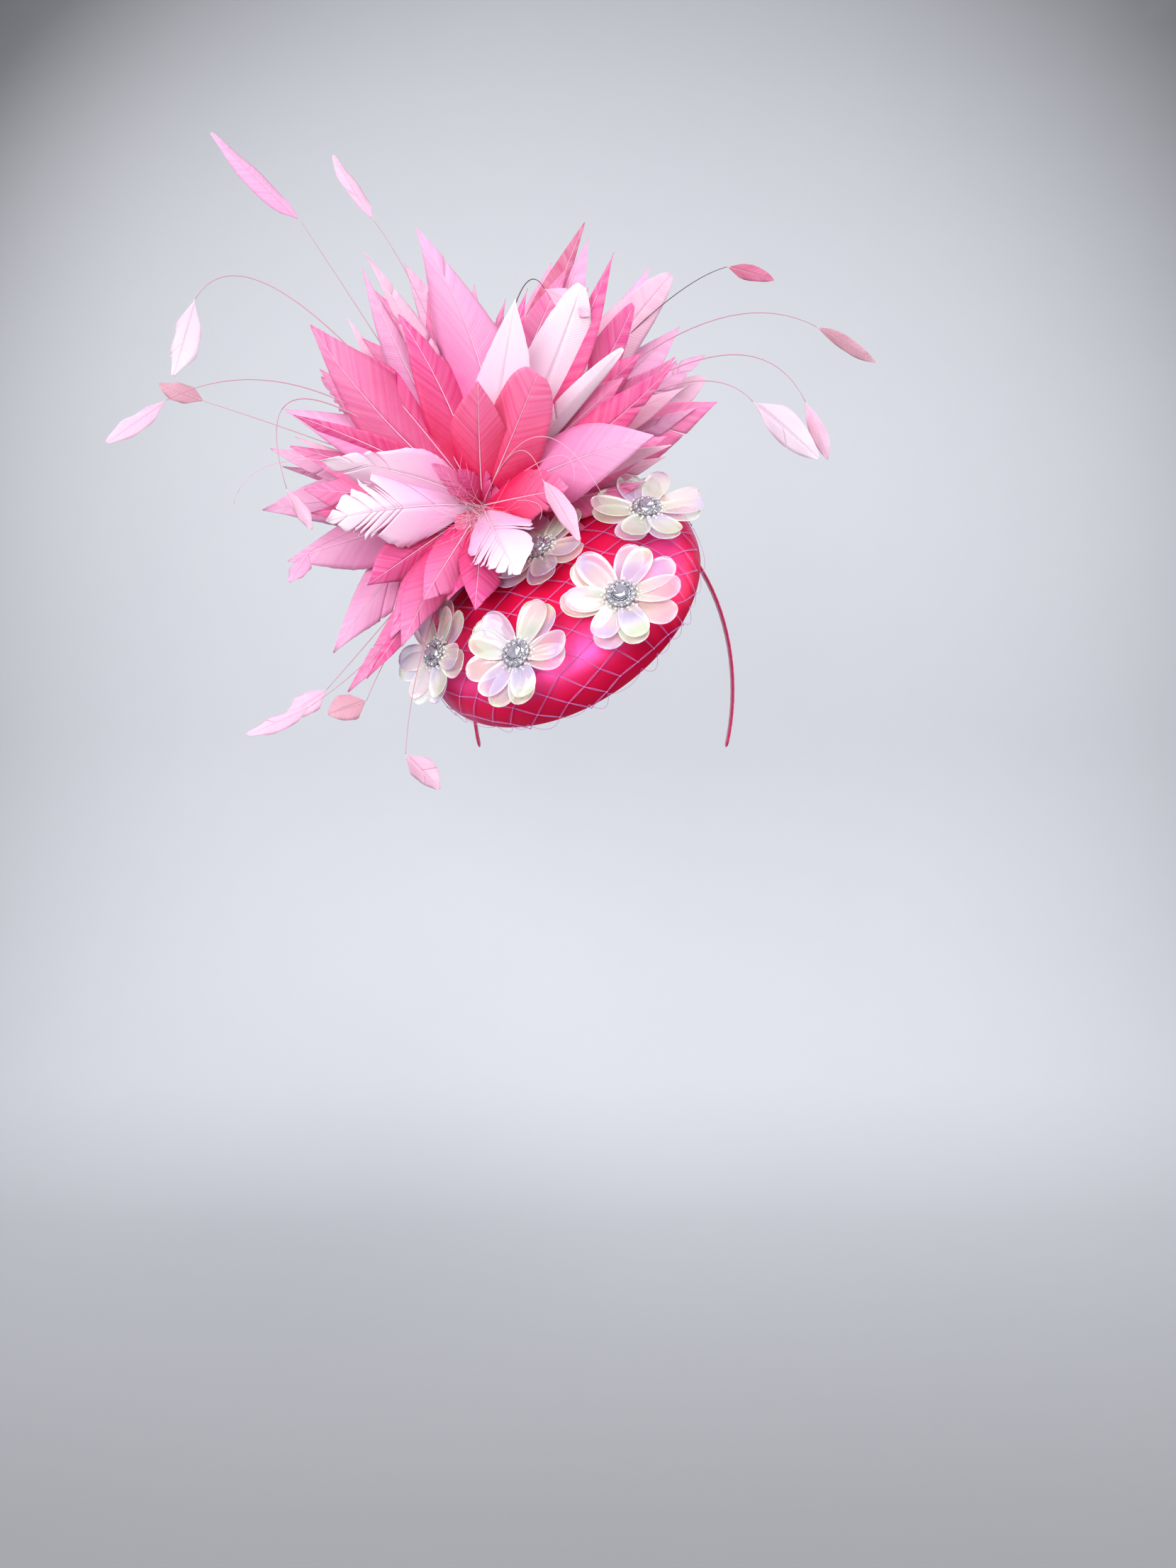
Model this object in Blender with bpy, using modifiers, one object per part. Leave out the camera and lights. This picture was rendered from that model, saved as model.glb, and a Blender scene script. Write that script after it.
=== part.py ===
"""A pink feather fascinator on a headband, modelled as it is worn, in metres with +Z up.

The wearer looks along -Y, and the origin is the inner top of the headband, where it sits on the head.
"""

import math
from collections import namedtuple

import bmesh
import bpy
import numpy as np
from mathutils import Matrix, Vector

# Clearance that two touching pieces keep
GAP = 0.0003

# Headband: a flat arch whose inner face is a half ellipse that closes in a little at its ends
BAND_HALF_SPAN = 0.074
BAND_HEIGHT = 0.105
BAND_THICKNESS = 0.0018
BAND_WIDTH = 0.008
BAND_SWEEP = 108.0
BAND_STEPS = 28

# Crown: a satin shell turned on its own axis, which tips toward the wearer's right brow, made up of three
# courses, a tip, a shoulder and a rim, that meet edge to edge
CROWN_RADIUS = 0.080
CROWN_RISE = 0.036
CROWN_WALL = 0.0025
CROWN_SQUARENESS = 2.6
CROWN_TURN = -31.0
CROWN_LIFT = 34.0
CROWN_STEPS = 32
CROWN_COURSES = ("crown_tip", "crown_shoulder", "crown_rim")
CROWN_ROWS_IN_COURSE = 2
SEAT_CLOCK = 96.0
SEAT_ACROSS = -0.008

# Veil: an open net of diamonds over the crown
VEIL_STRAND = 0.0011
VEIL_STAND_OFF = 0.0016
VEIL_CELL_LONG = 0.0310
VEIL_CELL_SHORT = 0.0215
VEIL_GRAIN = 20.0
VEIL_SAG_SHARE = 0.78

# Sequin flowers: two rings of clear petals round a jewel
FLOWER_SPREAD = 0.057
PETAL_WIDTH = 0.0135
PETAL_THICKNESS = 0.0007
PETAL_CUP = 0.0030
PETALS_IN_RING = 5
PETAL_RING_STEP = 0.0014
FLOWER_FOOT_RADIUS = 0.0065
JEWEL_RADIUS = 0.0075
JEWEL_THICKNESS = 0.0014
JEWEL_STONES = 10
JEWEL_STONE_RADIUS = 0.0014
JEWEL_STONE_TABLE = 0.0007
JEWEL_STONE_CROWN = 0.00098
JEWEL_STONE_GIRDLE = 0.00014
JEWEL_STONE_FOOT = 0.00126
JEWEL_STONE_SINK = 0.00021
JEWEL_STONE_MARGIN = 0.00021
CRYSTAL_RADIUS = 0.0037
CRYSTAL_TABLE = 0.0020
CRYSTAL_FOOT = 0.0028
CRYSTAL_CROWN = 0.0016
CRYSTAL_GIRDLE = 0.0006
CRYSTAL_POCKET = 0.0005

# Feather flower: flat goose blades and stripped cock quills that leave one bound stem
STEM_RADIUS = 0.0150
STEM_HEIGHT = 0.0260
STEM_BELLY = 0.0065
STEM_FOOT = 0.0120
STEM_ROOT = 0.72
STEM_ACROSS = -0.0260
STEM_UP = 0.0220
FEATHER_LENGTH = 0.150
FEATHER_WIDTH = 0.031
FEATHER_THICKNESS = 0.0010
FEATHER_FOLD = 0.10
QUILL_LENGTH = 0.200
QUILL_THICKNESS = 0.0011
LEAF_WIDTH = 0.0120

# Each flower: its place as a share of the crown's radius, the clock of that place round the crown from
# the crown's upper edge, how far it nods back to the crown's axis in degrees, and its own turn.
Flower = namedtuple("Flower", "reach clock nod turn")
FLOWERS = (
    Flower(0.81, -145.0, 0.0, 10.0),
    Flower(0.76, 166.0, 6.0, 32.0),
    Flower(0.12, 88.0, 0.0, 50.0),
    Flower(0.80, 114.0, 4.0, 5.0),
    Flower(0.78, 63.0, 0.0, 24.0),
)

# Each blade: the clock of its tip from straight up as seen from in front of the wearer, its lean toward
# that viewer in degrees, its length and width as shares of the full feather's, how far its tip falls back
# and sways aside as shares of its length, and its roll about its own quill in degrees.
Blade = namedtuple("Blade", "clock lean length width fall sway roll")
BLADES = (
    Blade(20, 5, 0.78, 1.30, 0.05, -0.65, 10),
    Blade(-4, -20, 1.20, 0.95, 0.02, -0.25, -15),
    Blade(-8, -10, 0.86, 1.05, 0.04, -0.34, 12),
    Blade(-24, -14, 0.93, 0.45, 0.00, -0.05, 20),
    Blade(-20, 8, 0.67, 0.85, 0.04, -0.30, -10),
    Blade(-57, 15, 0.78, 1.30, 0.06, 0.20, -12),
    Blade(-50, 10, 0.70, 1.00, 0.05, -0.28, 12),
    Blade(-49, -20, 0.90, 0.80, 0.00, 0.00, 0),
    Blade(-73, -10, 0.83, 0.70, 0.00, 0.00, 15),
    Blade(-75, -18, 0.84, 0.40, 0.00, 0.00, 0),
    Blade(-73, 8, 0.68, 0.80, 0.05, 0.00, 20),
    Blade(-84, 0, 0.78, 1.05, 0.05, -0.12, -10),
    Blade(-67, 38, 0.55, 1.00, 0.10, -0.25, -15),
    Blade(-97, 38, 0.57, 1.25, 0.10, -0.10, 8),
    Blade(-103, 5, 0.70, 1.10, 0.06, -0.05, 10),
    Blade(-110, 0, 0.54, 0.80, 0.05, 0.00, -15),
    Blade(-102, -30, 0.67, 0.60, 0.00, 0.00, 0),
    Blade(-118, 0, 0.70, 1.15, 0.04, -0.30, 12),
    Blade(-149, 24, 0.62, 0.85, 0.00, -0.10, 4),
    Blade(-157, 38, 0.52, 0.70, 0.00, 0.00, 0),
    Blade(-147, 8, 0.80, 0.50, 0.02, 0.04, 20),
    Blade(-152, 19, 0.76, 0.45, 0.00, 0.03, -20),
    Blade(-149, 24, 0.60, 0.85, 0.06, 0.00, 10),
    Blade(-130, 22, 0.50, 0.85, 0.08, 0.00, -12),
    Blade(-167, 32, 0.44, 0.75, 0.00, 0.02, 15),
    Blade(178, 36, 0.50, 0.75, 0.00, 0.02, -10),
    Blade(158, 52, 0.52, 1.15, 0.06, -0.04, 10),
    Blade(2, 46, 0.44, 1.00, 0.06, 0.02, 8),
    Blade(34, 42, 0.51, 1.15, 0.06, -0.05, -12),
    Blade(98, 55, 0.44, 0.90, 0.15, 0.00, 18),
    Blade(68, 34, 0.68, 1.25, 0.08, 0.12, -10),
    Blade(59, 6, 0.88, 1.40, 0.06, 0.15, 12),
    Blade(53, -4, 0.97, 0.95, 0.04, 0.02, -12),
    Blade(37, -10, 1.15, 0.95, 0.03, 0.00, 8),
    Blade(40, -12, 1.18, 0.95, 0.04, -0.15, -10),
    Blade(56, 7, 0.80, 0.85, 0.05, -0.30, 15),
    Blade(16, -8, 1.15, 0.60, 0.02, 0.05, 20),
    Blade(20, -10, 1.10, 0.80, 0.00, 0.00, -10),
    Blade(14, -12, 1.00, 0.80, 0.02, 0.00, 5),
    Blade(26, 4, 0.83, 1.05, 0.04, 0.00, -15),
    Blade(37, 20, 0.77, 1.20, 0.06, -0.15, 6),
    Blade(13, 32, 0.67, 0.95, 0.06, 0.00, -8),
    Blade(45, 22, 0.70, 0.40, 0.04, 0.05, 25),
    Blade(48, 12, 0.74, 1.00, 0.06, 0.02, 10),
    Blade(43, -18, 1.12, 0.95, 0.03, 0.00, 0),
    Blade(57, -12, 0.97, 1.00, 0.00, 0.00, -5),
    Blade(78, 21, 0.70, 0.50, 0.00, 0.00, 10),
    Blade(73, 17, 0.68, 0.75, 0.05, 0.00, -5),
    Blade(52, 16, 0.64, 0.95, 0.06, 0.00, 12),
    Blade(-38, 14, 0.66, 0.95, 0.05, -0.05, -10),
    Blade(-88, 20, 0.60, 0.95, 0.06, 0.00, 12),
    Blade(-12, 12, 0.66, 1.05, 0.05, -0.20, 15),
    Blade(-10, -50, 0.88, 1.05, -0.04, 0.00, 10),
    Blade(22, -42, 0.90, 1.05, -0.04, 0.00, -10),
    Blade(50, -27, 0.84, 0.90, -0.04, 0.00, 12),
    Blade(-42, -52, 0.84, 1.05, -0.04, 0.00, -12),
    Blade(-78, -46, 0.78, 1.00, -0.04, 0.00, 10),
    Blade(-5, -62, 0.80, 1.00, -0.06, 0.00, 0),
    Blade(-60, -60, 0.74, 1.00, -0.06, 0.00, 15),
)

# Each quill bows from the stem to its leaf: the clock it leaves by, the clock and reach of its leaf's foot,
# how far along the bow's corner lies, and its lean; then the clock, length and width of the leaf.
# Reach, corner and leaf are shares of the full quill's length, and the leaf's width of the full leaf's.
Quill = namedtuple("Quill", "clock corner foot_clock reach lean leaf_clock leaf_length leaf_width")
QUILLS = (
    Quill(-31, 0.52, -32, 1.04, -14, -45, 0.41, 1.15),
    Quill(-12, 0.60, -21, 1.00, -18, -32, 0.26, 0.95),
    Quill(-37, 0.94, -55, 0.88, 4, -164, 0.20, 1.35),
    Quill(-46, 0.60, -74, 0.80, 12, -128, 0.18, 1.00),
    Quill(-65, 0.40, -68, 0.83, -8, -69, 0.14, 1.00),
    Quill(-52, 0.78, -88, 0.49, 12, 147, 0.12, 0.70),
    Quill(-96, 0.25, -109, 0.46, 16, -150, 0.09, 0.90),
    Quill(35, 0.79, 43, 0.99, -12, 100, 0.14, 0.80),
    Quill(40, 0.86, 61, 1.01, -4, 117, 0.185, 0.65),
    Quill(50, 0.86, 75, 0.85, 10, 158, 0.15, 0.70),
    Quill(54, 0.67, 74, 0.73, 18, 131, 0.21, 1.25),
    Quill(8, 0.65, 19, 0.54, 16, 121, 0.13, 0.95),
    Quill(-140, 0.35, -139, 0.63, -2, -125, 0.13, 1.10),
    Quill(-153, 0.40, -141, 0.68, 8, -116, 0.18, 0.90),
    Quill(-146, 0.35, -152, 0.60, 14, -111, 0.10, 1.20),
    Quill(-154, 0.40, -165, 0.69, 14, 134, 0.12, 1.20),
    Quill(35, 0.33, 86, 0.27, 52, 150, 0.20, 0.90),
)


def clear_scene():
    for obj in list(bpy.data.objects):
        bpy.data.objects.remove(obj, do_unlink=True)


def material(name, colour, roughness, metallic=0.0):
    made = bpy.data.materials.new(name)
    made.use_nodes = True
    shader = made.node_tree.nodes["Principled BSDF"]
    shader.inputs["Base Color"].default_value = (*colour, 1.0)
    shader.inputs["Roughness"].default_value = roughness
    shader.inputs["Metallic"].default_value = metallic
    return made


def place(obj, collection, finish, matrix=None):
    """Puts an object into the part's collection with its material and its place."""
    collection.objects.link(obj)
    obj.data.materials.clear()
    obj.data.materials.append(finish)
    if matrix is not None:
        obj.matrix_world = matrix
    return obj


def object_from_bmesh(name, bm):
    mesh = bpy.data.meshes.new(name)
    bm.to_mesh(mesh)
    bm.free()
    return bpy.data.objects.new(name, mesh)


def evaluated_mesh(obj):
    """The mesh that an object's modifiers give."""
    bpy.context.view_layer.update()
    graph = bpy.context.evaluated_depsgraph_get()
    return bpy.data.meshes.new_from_object(obj.evaluated_get(graph))


def largest_shell(mesh):
    """Drops the small closed pockets that crossing blades leave inside a joined shape."""
    bm = bmesh.new()
    bm.from_mesh(mesh)
    left = set(bm.verts)
    shells = []
    while left:
        reached = {left.pop()}
        front = set(reached)
        while front:
            front = {edge.other_vert(v) for v in front for edge in v.link_edges} - reached
            reached |= front
        left -= reached
        shells.append(reached)
    shells.sort(key=len)
    stray = [v for shell in shells[:-1] for v in shell]
    bmesh.ops.delete(bm, geom=stray, context="VERTS")
    bm.to_mesh(mesh)
    bm.free()
    return mesh


def joined(name, core, pieces, solver="EXACT"):
    """Joins closed pieces to a core with one Boolean union and keeps the result as a plain mesh."""
    bench = bpy.data.collections.new(name + "_pieces")
    bpy.context.scene.collection.children.link(bench)
    bpy.context.scene.collection.objects.link(core)
    for piece in pieces:
        bench.objects.link(piece)
    union = core.modifiers.new("join", "BOOLEAN")
    union.operation = "UNION"
    union.solver = solver
    union.operand_type = "COLLECTION"
    union.collection = bench
    result = bpy.data.objects.new(name, largest_shell(evaluated_mesh(core)))
    for helper in [core, *pieces]:
        bpy.data.objects.remove(helper, do_unlink=True)
    bpy.data.collections.remove(bench)
    return result


def crown_axes():
    """The crown's across, up and outward directions."""
    turn, lift = math.radians(CROWN_TURN), math.radians(CROWN_LIFT)
    outward = Vector((math.sin(turn) * math.cos(lift), -math.cos(turn) * math.cos(lift), math.sin(lift)))
    across = Vector((math.cos(turn), math.sin(turn), 0.0))
    return across, outward.cross(across), outward


def band_outer_height(x):
    """The height of the band's outer face above a place across its top."""
    half, rise = BAND_HALF_SPAN + BAND_THICKNESS, BAND_HEIGHT + BAND_THICKNESS
    return rise * math.sqrt(max(0.0, 1.0 - (x / half) ** 2)) - BAND_HEIGHT


def crown_centre():
    """Where the rim's middle lies, so that the rim's inner edge rests on the band's outer face."""
    across, up, _ = crown_axes()
    seat = math.radians(SEAT_CLOCK)
    arm = CROWN_RADIUS * (math.cos(seat) * across + math.sin(seat) * up)
    centre = Vector((SEAT_ACROSS - arm.x, -arm.y, 0.0))
    inner = CROWN_RADIUS - CROWN_WALL
    step = math.tau / CROWN_STEPS
    corners = [inner * (math.cos(k * step) * across + math.sin(k * step) * up) for k in range(CROWN_STEPS)]
    drops = []
    for start, end in zip(corners, corners[1:] + corners[:1]):
        for share in np.linspace(0.0, 1.0, 41):
            point = centre + start.lerp(end, share)
            if abs(point.y) < 0.55 * BAND_WIDTH and abs(point.x) < 0.5 * BAND_HALF_SPAN:
                drops.append(point.z - band_outer_height(point.x))
    centre.z = GAP - min(drops)
    return centre


def crown_matrix():
    across, up, outward = crown_axes()
    turned = Matrix((across, up, outward)).transposed().to_4x4()
    return Matrix.Translation(crown_centre()) @ turned


def crown_section(radius, rise, angles):
    """Points of a squared ellipse from its top to its rim, as (radius, height) pairs."""
    power = 2.0 / CROWN_SQUARENESS
    return np.stack([radius * np.abs(np.cos(angles)) ** power, rise * np.abs(np.sin(angles)) ** power], axis=1)


def crown_point(reach, clock, stand_off=0.0):
    """A place on the crown in its own axes, and the outward normal there."""
    radius = reach * CROWN_RADIUS
    height = CROWN_RISE * (1.0 - reach**CROWN_SQUARENESS) ** (1.0 / CROWN_SQUARENESS)
    side = reach ** (CROWN_SQUARENESS - 1.0) / CROWN_RADIUS
    top = (height / CROWN_RISE) ** (CROWN_SQUARENESS - 1.0) / CROWN_RISE
    turn = math.radians(clock)
    outward = Vector((math.sin(turn), math.cos(turn), 0.0))
    normal = (side * outward + Vector((0.0, 0.0, top))).normalized()
    point = radius * outward + Vector((0.0, 0.0, height))
    return point + stand_off * normal, normal


def trim_stand_off():
    """How far above the satin a piece sits that is sewn on over the veil, whose strands sag between knots."""
    return VEIL_STAND_OFF + VEIL_SAG_SHARE * VEIL_STRAND + GAP


def make_headband():
    sweep = np.radians(np.linspace(-BAND_SWEEP, BAND_SWEEP, BAND_STEPS + 1))
    outline = []
    for extra, angles in ((0.0, sweep), (BAND_THICKNESS, sweep[::-1])):
        across = (BAND_HALF_SPAN + extra) * np.sin(angles)
        height = (BAND_HEIGHT + extra) * np.cos(angles) - BAND_HEIGHT
        outline.extend(zip(across, height))
    curve = bpy.data.curves.new("headband", "CURVE")
    curve.dimensions = "2D"
    curve.fill_mode = "BOTH"
    curve.extrude = BAND_WIDTH / 2
    spline = curve.splines.new("POLY")
    spline.points.add(len(outline) - 1)
    for point, (across, height) in zip(spline.points, outline):
        point.co = (across, height, 0.0, 1.0)
    spline.use_cyclic_u = True
    return bpy.data.objects.new("headband", curve)


def make_crown_course(number, name):
    """A closed section between two angles of the crown's squared ellipse, turned about the crown's axis."""
    sweep = math.radians(90.0) / len(CROWN_COURSES)
    first = math.radians(90.0) - number * sweep
    angles = np.linspace(first, first - sweep, CROWN_ROWS_IN_COURSE + 1)
    is_tip = number == 0
    if not is_tip:
        angles[0] -= GAP / CROWN_RADIUS
    if number < len(CROWN_COURSES) - 1:
        angles[-1] += GAP / CROWN_RADIUS
    outer = crown_section(CROWN_RADIUS, CROWN_RISE, angles)
    inner = crown_section(CROWN_RADIUS - CROWN_WALL, CROWN_RISE - CROWN_WALL, angles)[::-1]
    section = np.concatenate([outer, inner])
    bm = bmesh.new()
    corners = [bm.verts.new((radius, 0.0, height)) for radius, height in section]
    for start, end in zip(corners, corners[1:]):
        bm.edges.new((start, end))
    if not is_tip:
        bm.edges.new((corners[-1], corners[0]))
    course = object_from_bmesh(name, bm)
    turned = course.modifiers.new("turn", "SCREW")
    turned.steps = turned.render_steps = CROWN_STEPS
    turned.use_merge_vertices = True
    turned.merge_threshold = 0.00001
    return course


def make_veil():
    """A flat grid of diamonds, bent over the crown by its distance from the top, with its faces opened."""
    stand_off = VEIL_STAND_OFF + VEIL_STRAND / 2
    angles = np.radians(np.linspace(90.0, 0.0, 200))
    section = crown_section(CROWN_RADIUS + stand_off, CROWN_RISE + stand_off, angles)
    walked = np.concatenate([[0.0], np.cumsum(np.hypot(*np.diff(section, axis=0).T))])
    reach = walked[-1]
    count = 2 * math.ceil(reach / VEIL_CELL_SHORT) + 4
    bm = bmesh.new()
    bmesh.ops.create_grid(bm, x_segments=count, y_segments=count, size=count / 2)
    grain = math.radians(VEIL_GRAIN)
    for vert in bm.verts:
        long = (vert.co.x + vert.co.y) * VEIL_CELL_LONG / 2
        short = (vert.co.x - vert.co.y) * VEIL_CELL_SHORT / 2
        vert.co.x = long * math.cos(grain) - short * math.sin(grain)
        vert.co.y = long * math.sin(grain) + short * math.cos(grain)
    outside = [face for face in bm.faces if face.calc_center_median().length > reach]
    bmesh.ops.delete(bm, geom=outside, context="FACES")
    for vert in bm.verts:
        distance = min(vert.co.length, reach)
        clock = math.atan2(vert.co.y, vert.co.x)
        radius = np.interp(distance, walked, section[:, 0])
        vert.co.z = np.interp(distance, walked, section[:, 1])
        vert.co.x = radius * math.cos(clock)
        vert.co.y = radius * math.sin(clock)
    veil = object_from_bmesh("veil", bm)
    opened = veil.modifiers.new("open", "WIREFRAME")
    opened.thickness = VEIL_STRAND
    opened.use_even_offset = False
    opened.use_boundary = True
    return veil


def leaf_object(name, stations, length, width, fold):
    """A blade along +Y with its face to +Z, from a grid: each station is a share of its length and its width."""
    rows = len(stations) - 1
    bm = bmesh.new()
    bmesh.ops.create_grid(bm, x_segments=2, y_segments=rows, size=0.5)
    for vert in bm.verts:
        along, share = stations[round((vert.co.y + 0.5) * rows)]
        half = share * width / 2
        side = 2.0 * vert.co.x
        vert.co = (side * half, along * length, -abs(side) * fold * half)
    bmesh.ops.remove_doubles(bm, verts=bm.verts, dist=0.00001)
    return object_from_bmesh(name, bm)


def thicken(obj, thickness):
    shell = obj.modifiers.new("thicken", "SOLIDIFY")
    shell.thickness = thickness
    shell.offset = 0.0
    return obj


def petal_object(level):
    """One clear petal: an oval with a rounded end that lifts from the flower's foot."""
    outline = (0.25, 0.80, 1.0, 0.66)
    rows = len(outline) - 1
    start = 0.65 * FLOWER_FOOT_RADIUS
    bm = bmesh.new()
    bmesh.ops.create_grid(bm, x_segments=2, y_segments=rows, size=0.5)
    for vert in bm.verts:
        along = vert.co.y + 0.5
        side = 2.0 * vert.co.x
        half = np.interp(along * rows, range(rows + 1), outline) * PETAL_WIDTH / 2
        crowned = 1.0 - 0.11 * side**2 * along
        lift = PETAL_CUP * along**2 + 0.25 * PETAL_CUP * side**2 * along
        vert.co = (side * half, start + along * (FLOWER_SPREAD / 2 - start) * crowned, level + lift)
    return thicken(object_from_bmesh("petal", bm), PETAL_THICKNESS)


def foot_height():
    return 2 * PETAL_RING_STEP + PETAL_THICKNESS


def make_petals(name):
    foot_mesh = bmesh.new()
    bmesh.ops.create_cone(
        foot_mesh,
        cap_ends=True,
        segments=16,
        radius1=FLOWER_FOOT_RADIUS,
        radius2=FLOWER_FOOT_RADIUS,
        depth=foot_height(),
        matrix=Matrix.Translation((0.0, 0.0, foot_height() / 2)),
    )
    foot = object_from_bmesh(name + "_foot", foot_mesh)
    petals = []
    for ring in range(2):
        level = (ring + 0.6) * PETAL_RING_STEP
        for k in range(PETALS_IN_RING):
            petal = petal_object(level)
            petal.rotation_euler.z = math.tau * (k + ring / 2) / PETALS_IN_RING
            petals.append(petal)
    return joined(name, foot, petals)


def cut_stone(name, table_radius, girdle_radius, crown, girdle, foot_radius, foot, table_turn, sides=8):
    """A cut stone as the hull of its table, its girdle and its foot, each an even ring of corners."""
    rings = (
        (table_radius, crown + girdle, table_turn),
        (girdle_radius, girdle, 0.0),
        (girdle_radius, 0.0, 0.0),
        (foot_radius, -foot, 0.0),
    )
    bm = bmesh.new()
    for radius, height, shift in rings:
        for k in range(sides):
            turn = math.tau * (k + shift) / sides
            bm.verts.new((radius * math.cos(turn), radius * math.sin(turn), height))
    bmesh.ops.convex_hull(bm, input=bm.verts)
    bmesh.ops.recalc_face_normals(bm, faces=bm.faces)
    return object_from_bmesh(name, bm)


def make_jewel(name):
    """The silver plate with its ring of small stones, and a pocket for the crystal."""
    plate_mesh = bmesh.new()
    bmesh.ops.create_cone(
        plate_mesh,
        cap_ends=True,
        segments=2 * JEWEL_STONES,
        radius1=JEWEL_RADIUS,
        radius2=JEWEL_RADIUS,
        depth=JEWEL_THICKNESS,
        matrix=Matrix.Translation((0.0, 0.0, JEWEL_THICKNESS / 2)),
    )
    plate = object_from_bmesh(name + "_plate", plate_mesh)
    stones = []
    ring = JEWEL_RADIUS - JEWEL_STONE_RADIUS - JEWEL_STONE_MARGIN
    for k in range(JEWEL_STONES):
        turn = math.tau * k / JEWEL_STONES
        stone = cut_stone(
            name + "_stone",
            JEWEL_STONE_TABLE,
            JEWEL_STONE_RADIUS,
            JEWEL_STONE_CROWN,
            JEWEL_STONE_GIRDLE,
            JEWEL_STONE_FOOT,
            JEWEL_STONE_GIRDLE,
            0.0,
        )
        stone.location = (ring * math.cos(turn), ring * math.sin(turn), JEWEL_THICKNESS - JEWEL_STONE_SINK)
        stones.append(stone)
    return joined(name, plate, stones)


def make_stem():
    """The bound stem that all the feathers leave, a short bud with a flat foot."""
    angles = np.radians(np.linspace(90.0, 0.0, 5))
    bud = STEM_HEIGHT - STEM_BELLY
    section = [(STEM_RADIUS * math.cos(a) ** 0.8, STEM_BELLY + bud * math.sin(a)) for a in angles]
    section += [(STEM_FOOT, 0.0), (0.0, 0.0)]
    section[0] = (0.0, section[0][1])
    bm = bmesh.new()
    corners = [bm.verts.new((radius, 0.0, height)) for radius, height in section]
    for start, end in zip(corners, corners[1:]):
        bm.edges.new((start, end))
    stem = object_from_bmesh("stem", bm)
    turned = stem.modifiers.new("turn", "SCREW")
    turned.steps = turned.render_steps = 16
    turned.use_merge_vertices = True
    turned.merge_threshold = 0.00001
    mesh = evaluated_mesh_of_new(stem)
    return bpy.data.objects.new("stem", mesh)


def evaluated_mesh_of_new(obj):
    """The evaluated mesh of an object that is not yet in the scene, which it then leaves again."""
    bpy.context.scene.collection.objects.link(obj)
    mesh = evaluated_mesh(obj)
    bpy.data.objects.remove(obj, do_unlink=True)
    return mesh


def heading(clock, lean):
    """The direction of a clock angle as seen from in front of the wearer, leaning toward that viewer."""
    turn, tip = math.radians(clock), math.radians(lean)
    return Vector((math.cos(tip) * math.sin(turn), -math.sin(tip), math.cos(tip) * math.cos(turn)))


def blade_frame(along, roll):
    """A frame whose Y runs along a feather and whose Z, its face, turns to the viewer."""
    face = Vector((0.0, -1.0, 0.0))
    if abs(face.dot(along)) > 0.94:
        face = Vector((0.0, 0.0, 1.0))
    face = (face - face.dot(along) * along).normalized()
    side = along.cross(face)
    frame = Matrix((side, along, face)).transposed()
    return frame @ Matrix.Rotation(math.radians(roll), 3, "Y")


def blade_object(row, root):
    """A goose feather: narrow at the stem, widest past its middle, pointed, and fallen back toward its tip."""
    stations = ((0.0, 0.10), (0.38, 0.88), (0.74, 0.94), (1.0, 0.0))
    length = row.length * FEATHER_LENGTH
    blade = leaf_object("blade", stations, length, row.width * FEATHER_WIDTH, FEATHER_FOLD)
    frame = blade_frame(heading(row.clock, row.lean), row.roll)
    for vert in blade.data.vertices:
        along = vert.co.y / length
        vert.co.z -= row.fall * length * along**2
        vert.co.x += row.sway * length * along**2
        vert.co = root + frame @ vert.co
    return thicken(blade, FEATHER_THICKNESS)


def quill_objects(row, root):
    """A stripped cock feather: a bowed bare quill, and the small leaf left at its end."""
    corner = root + row.corner * QUILL_LENGTH * heading(row.clock, row.lean)
    foot = root + row.reach * QUILL_LENGTH * heading(row.foot_clock, row.lean)
    curve = bpy.data.curves.new("quill", "CURVE")
    curve.dimensions = "3D"
    curve.bevel_depth = QUILL_THICKNESS / 2
    curve.bevel_resolution = 0
    curve.use_fill_caps = True
    leaf_way = heading(row.leaf_clock, row.lean / 2)
    spline = curve.splines.new("POLY")
    steps = 6
    spline.points.add(steps + 1)
    for k in range(steps + 1):
        share = k / steps
        point = root.lerp(corner, share).lerp(corner.lerp(foot, share), share)
        spline.points[k].co = (*point, 1.0)
    spline.points[steps + 1].co = (*(foot + 0.3 * row.leaf_length * QUILL_LENGTH * leaf_way), 1.0)
    mesh = evaluated_mesh_of_new(bpy.data.objects.new("quill", curve))
    bm = bmesh.new()
    bm.from_mesh(mesh)
    bmesh.ops.remove_doubles(bm, verts=bm.verts, dist=0.00001)
    quill = object_from_bmesh("quill", bm)
    stations = ((0.0, 0.3), (0.6, 1.0), (1.0, 0.25))
    leaf = leaf_object("leaf", stations, row.leaf_length * QUILL_LENGTH, row.leaf_width * LEAF_WIDTH, 0.15)
    frame = blade_frame(leaf_way, 20.0)
    for vert in leaf.data.vertices:
        vert.co = foot + frame @ vert.co
    return [quill, thicken(leaf, FEATHER_THICKNESS)]


def stem_place():
    """The foot of the stem in the crown's own axes, and the crown's normal there."""
    reach = math.hypot(STEM_ACROSS, STEM_UP) / CROWN_RADIUS
    clock = math.degrees(math.atan2(STEM_ACROSS, STEM_UP))
    return crown_point(reach, clock, trim_stand_off())


def make_plume(crown):
    """Every feather joined to the bound stem."""
    foot, normal = stem_place()
    stem_matrix = crown @ Matrix.Translation(foot) @ normal.to_track_quat("Z", "Y").to_matrix().to_4x4()
    stem = make_stem()
    stem.data.transform(stem_matrix)
    root = stem_matrix @ Vector((0.0, 0.0, STEM_ROOT * STEM_HEIGHT))
    pieces = [blade_object(row, root) for row in BLADES]
    for row in QUILLS:
        pieces += quill_objects(row, root)
    # The exact solver gives the same union of these seventy crossing pieces, but needs minutes for it
    return joined("feather_plume", stem, pieces, "MANIFOLD")


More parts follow.
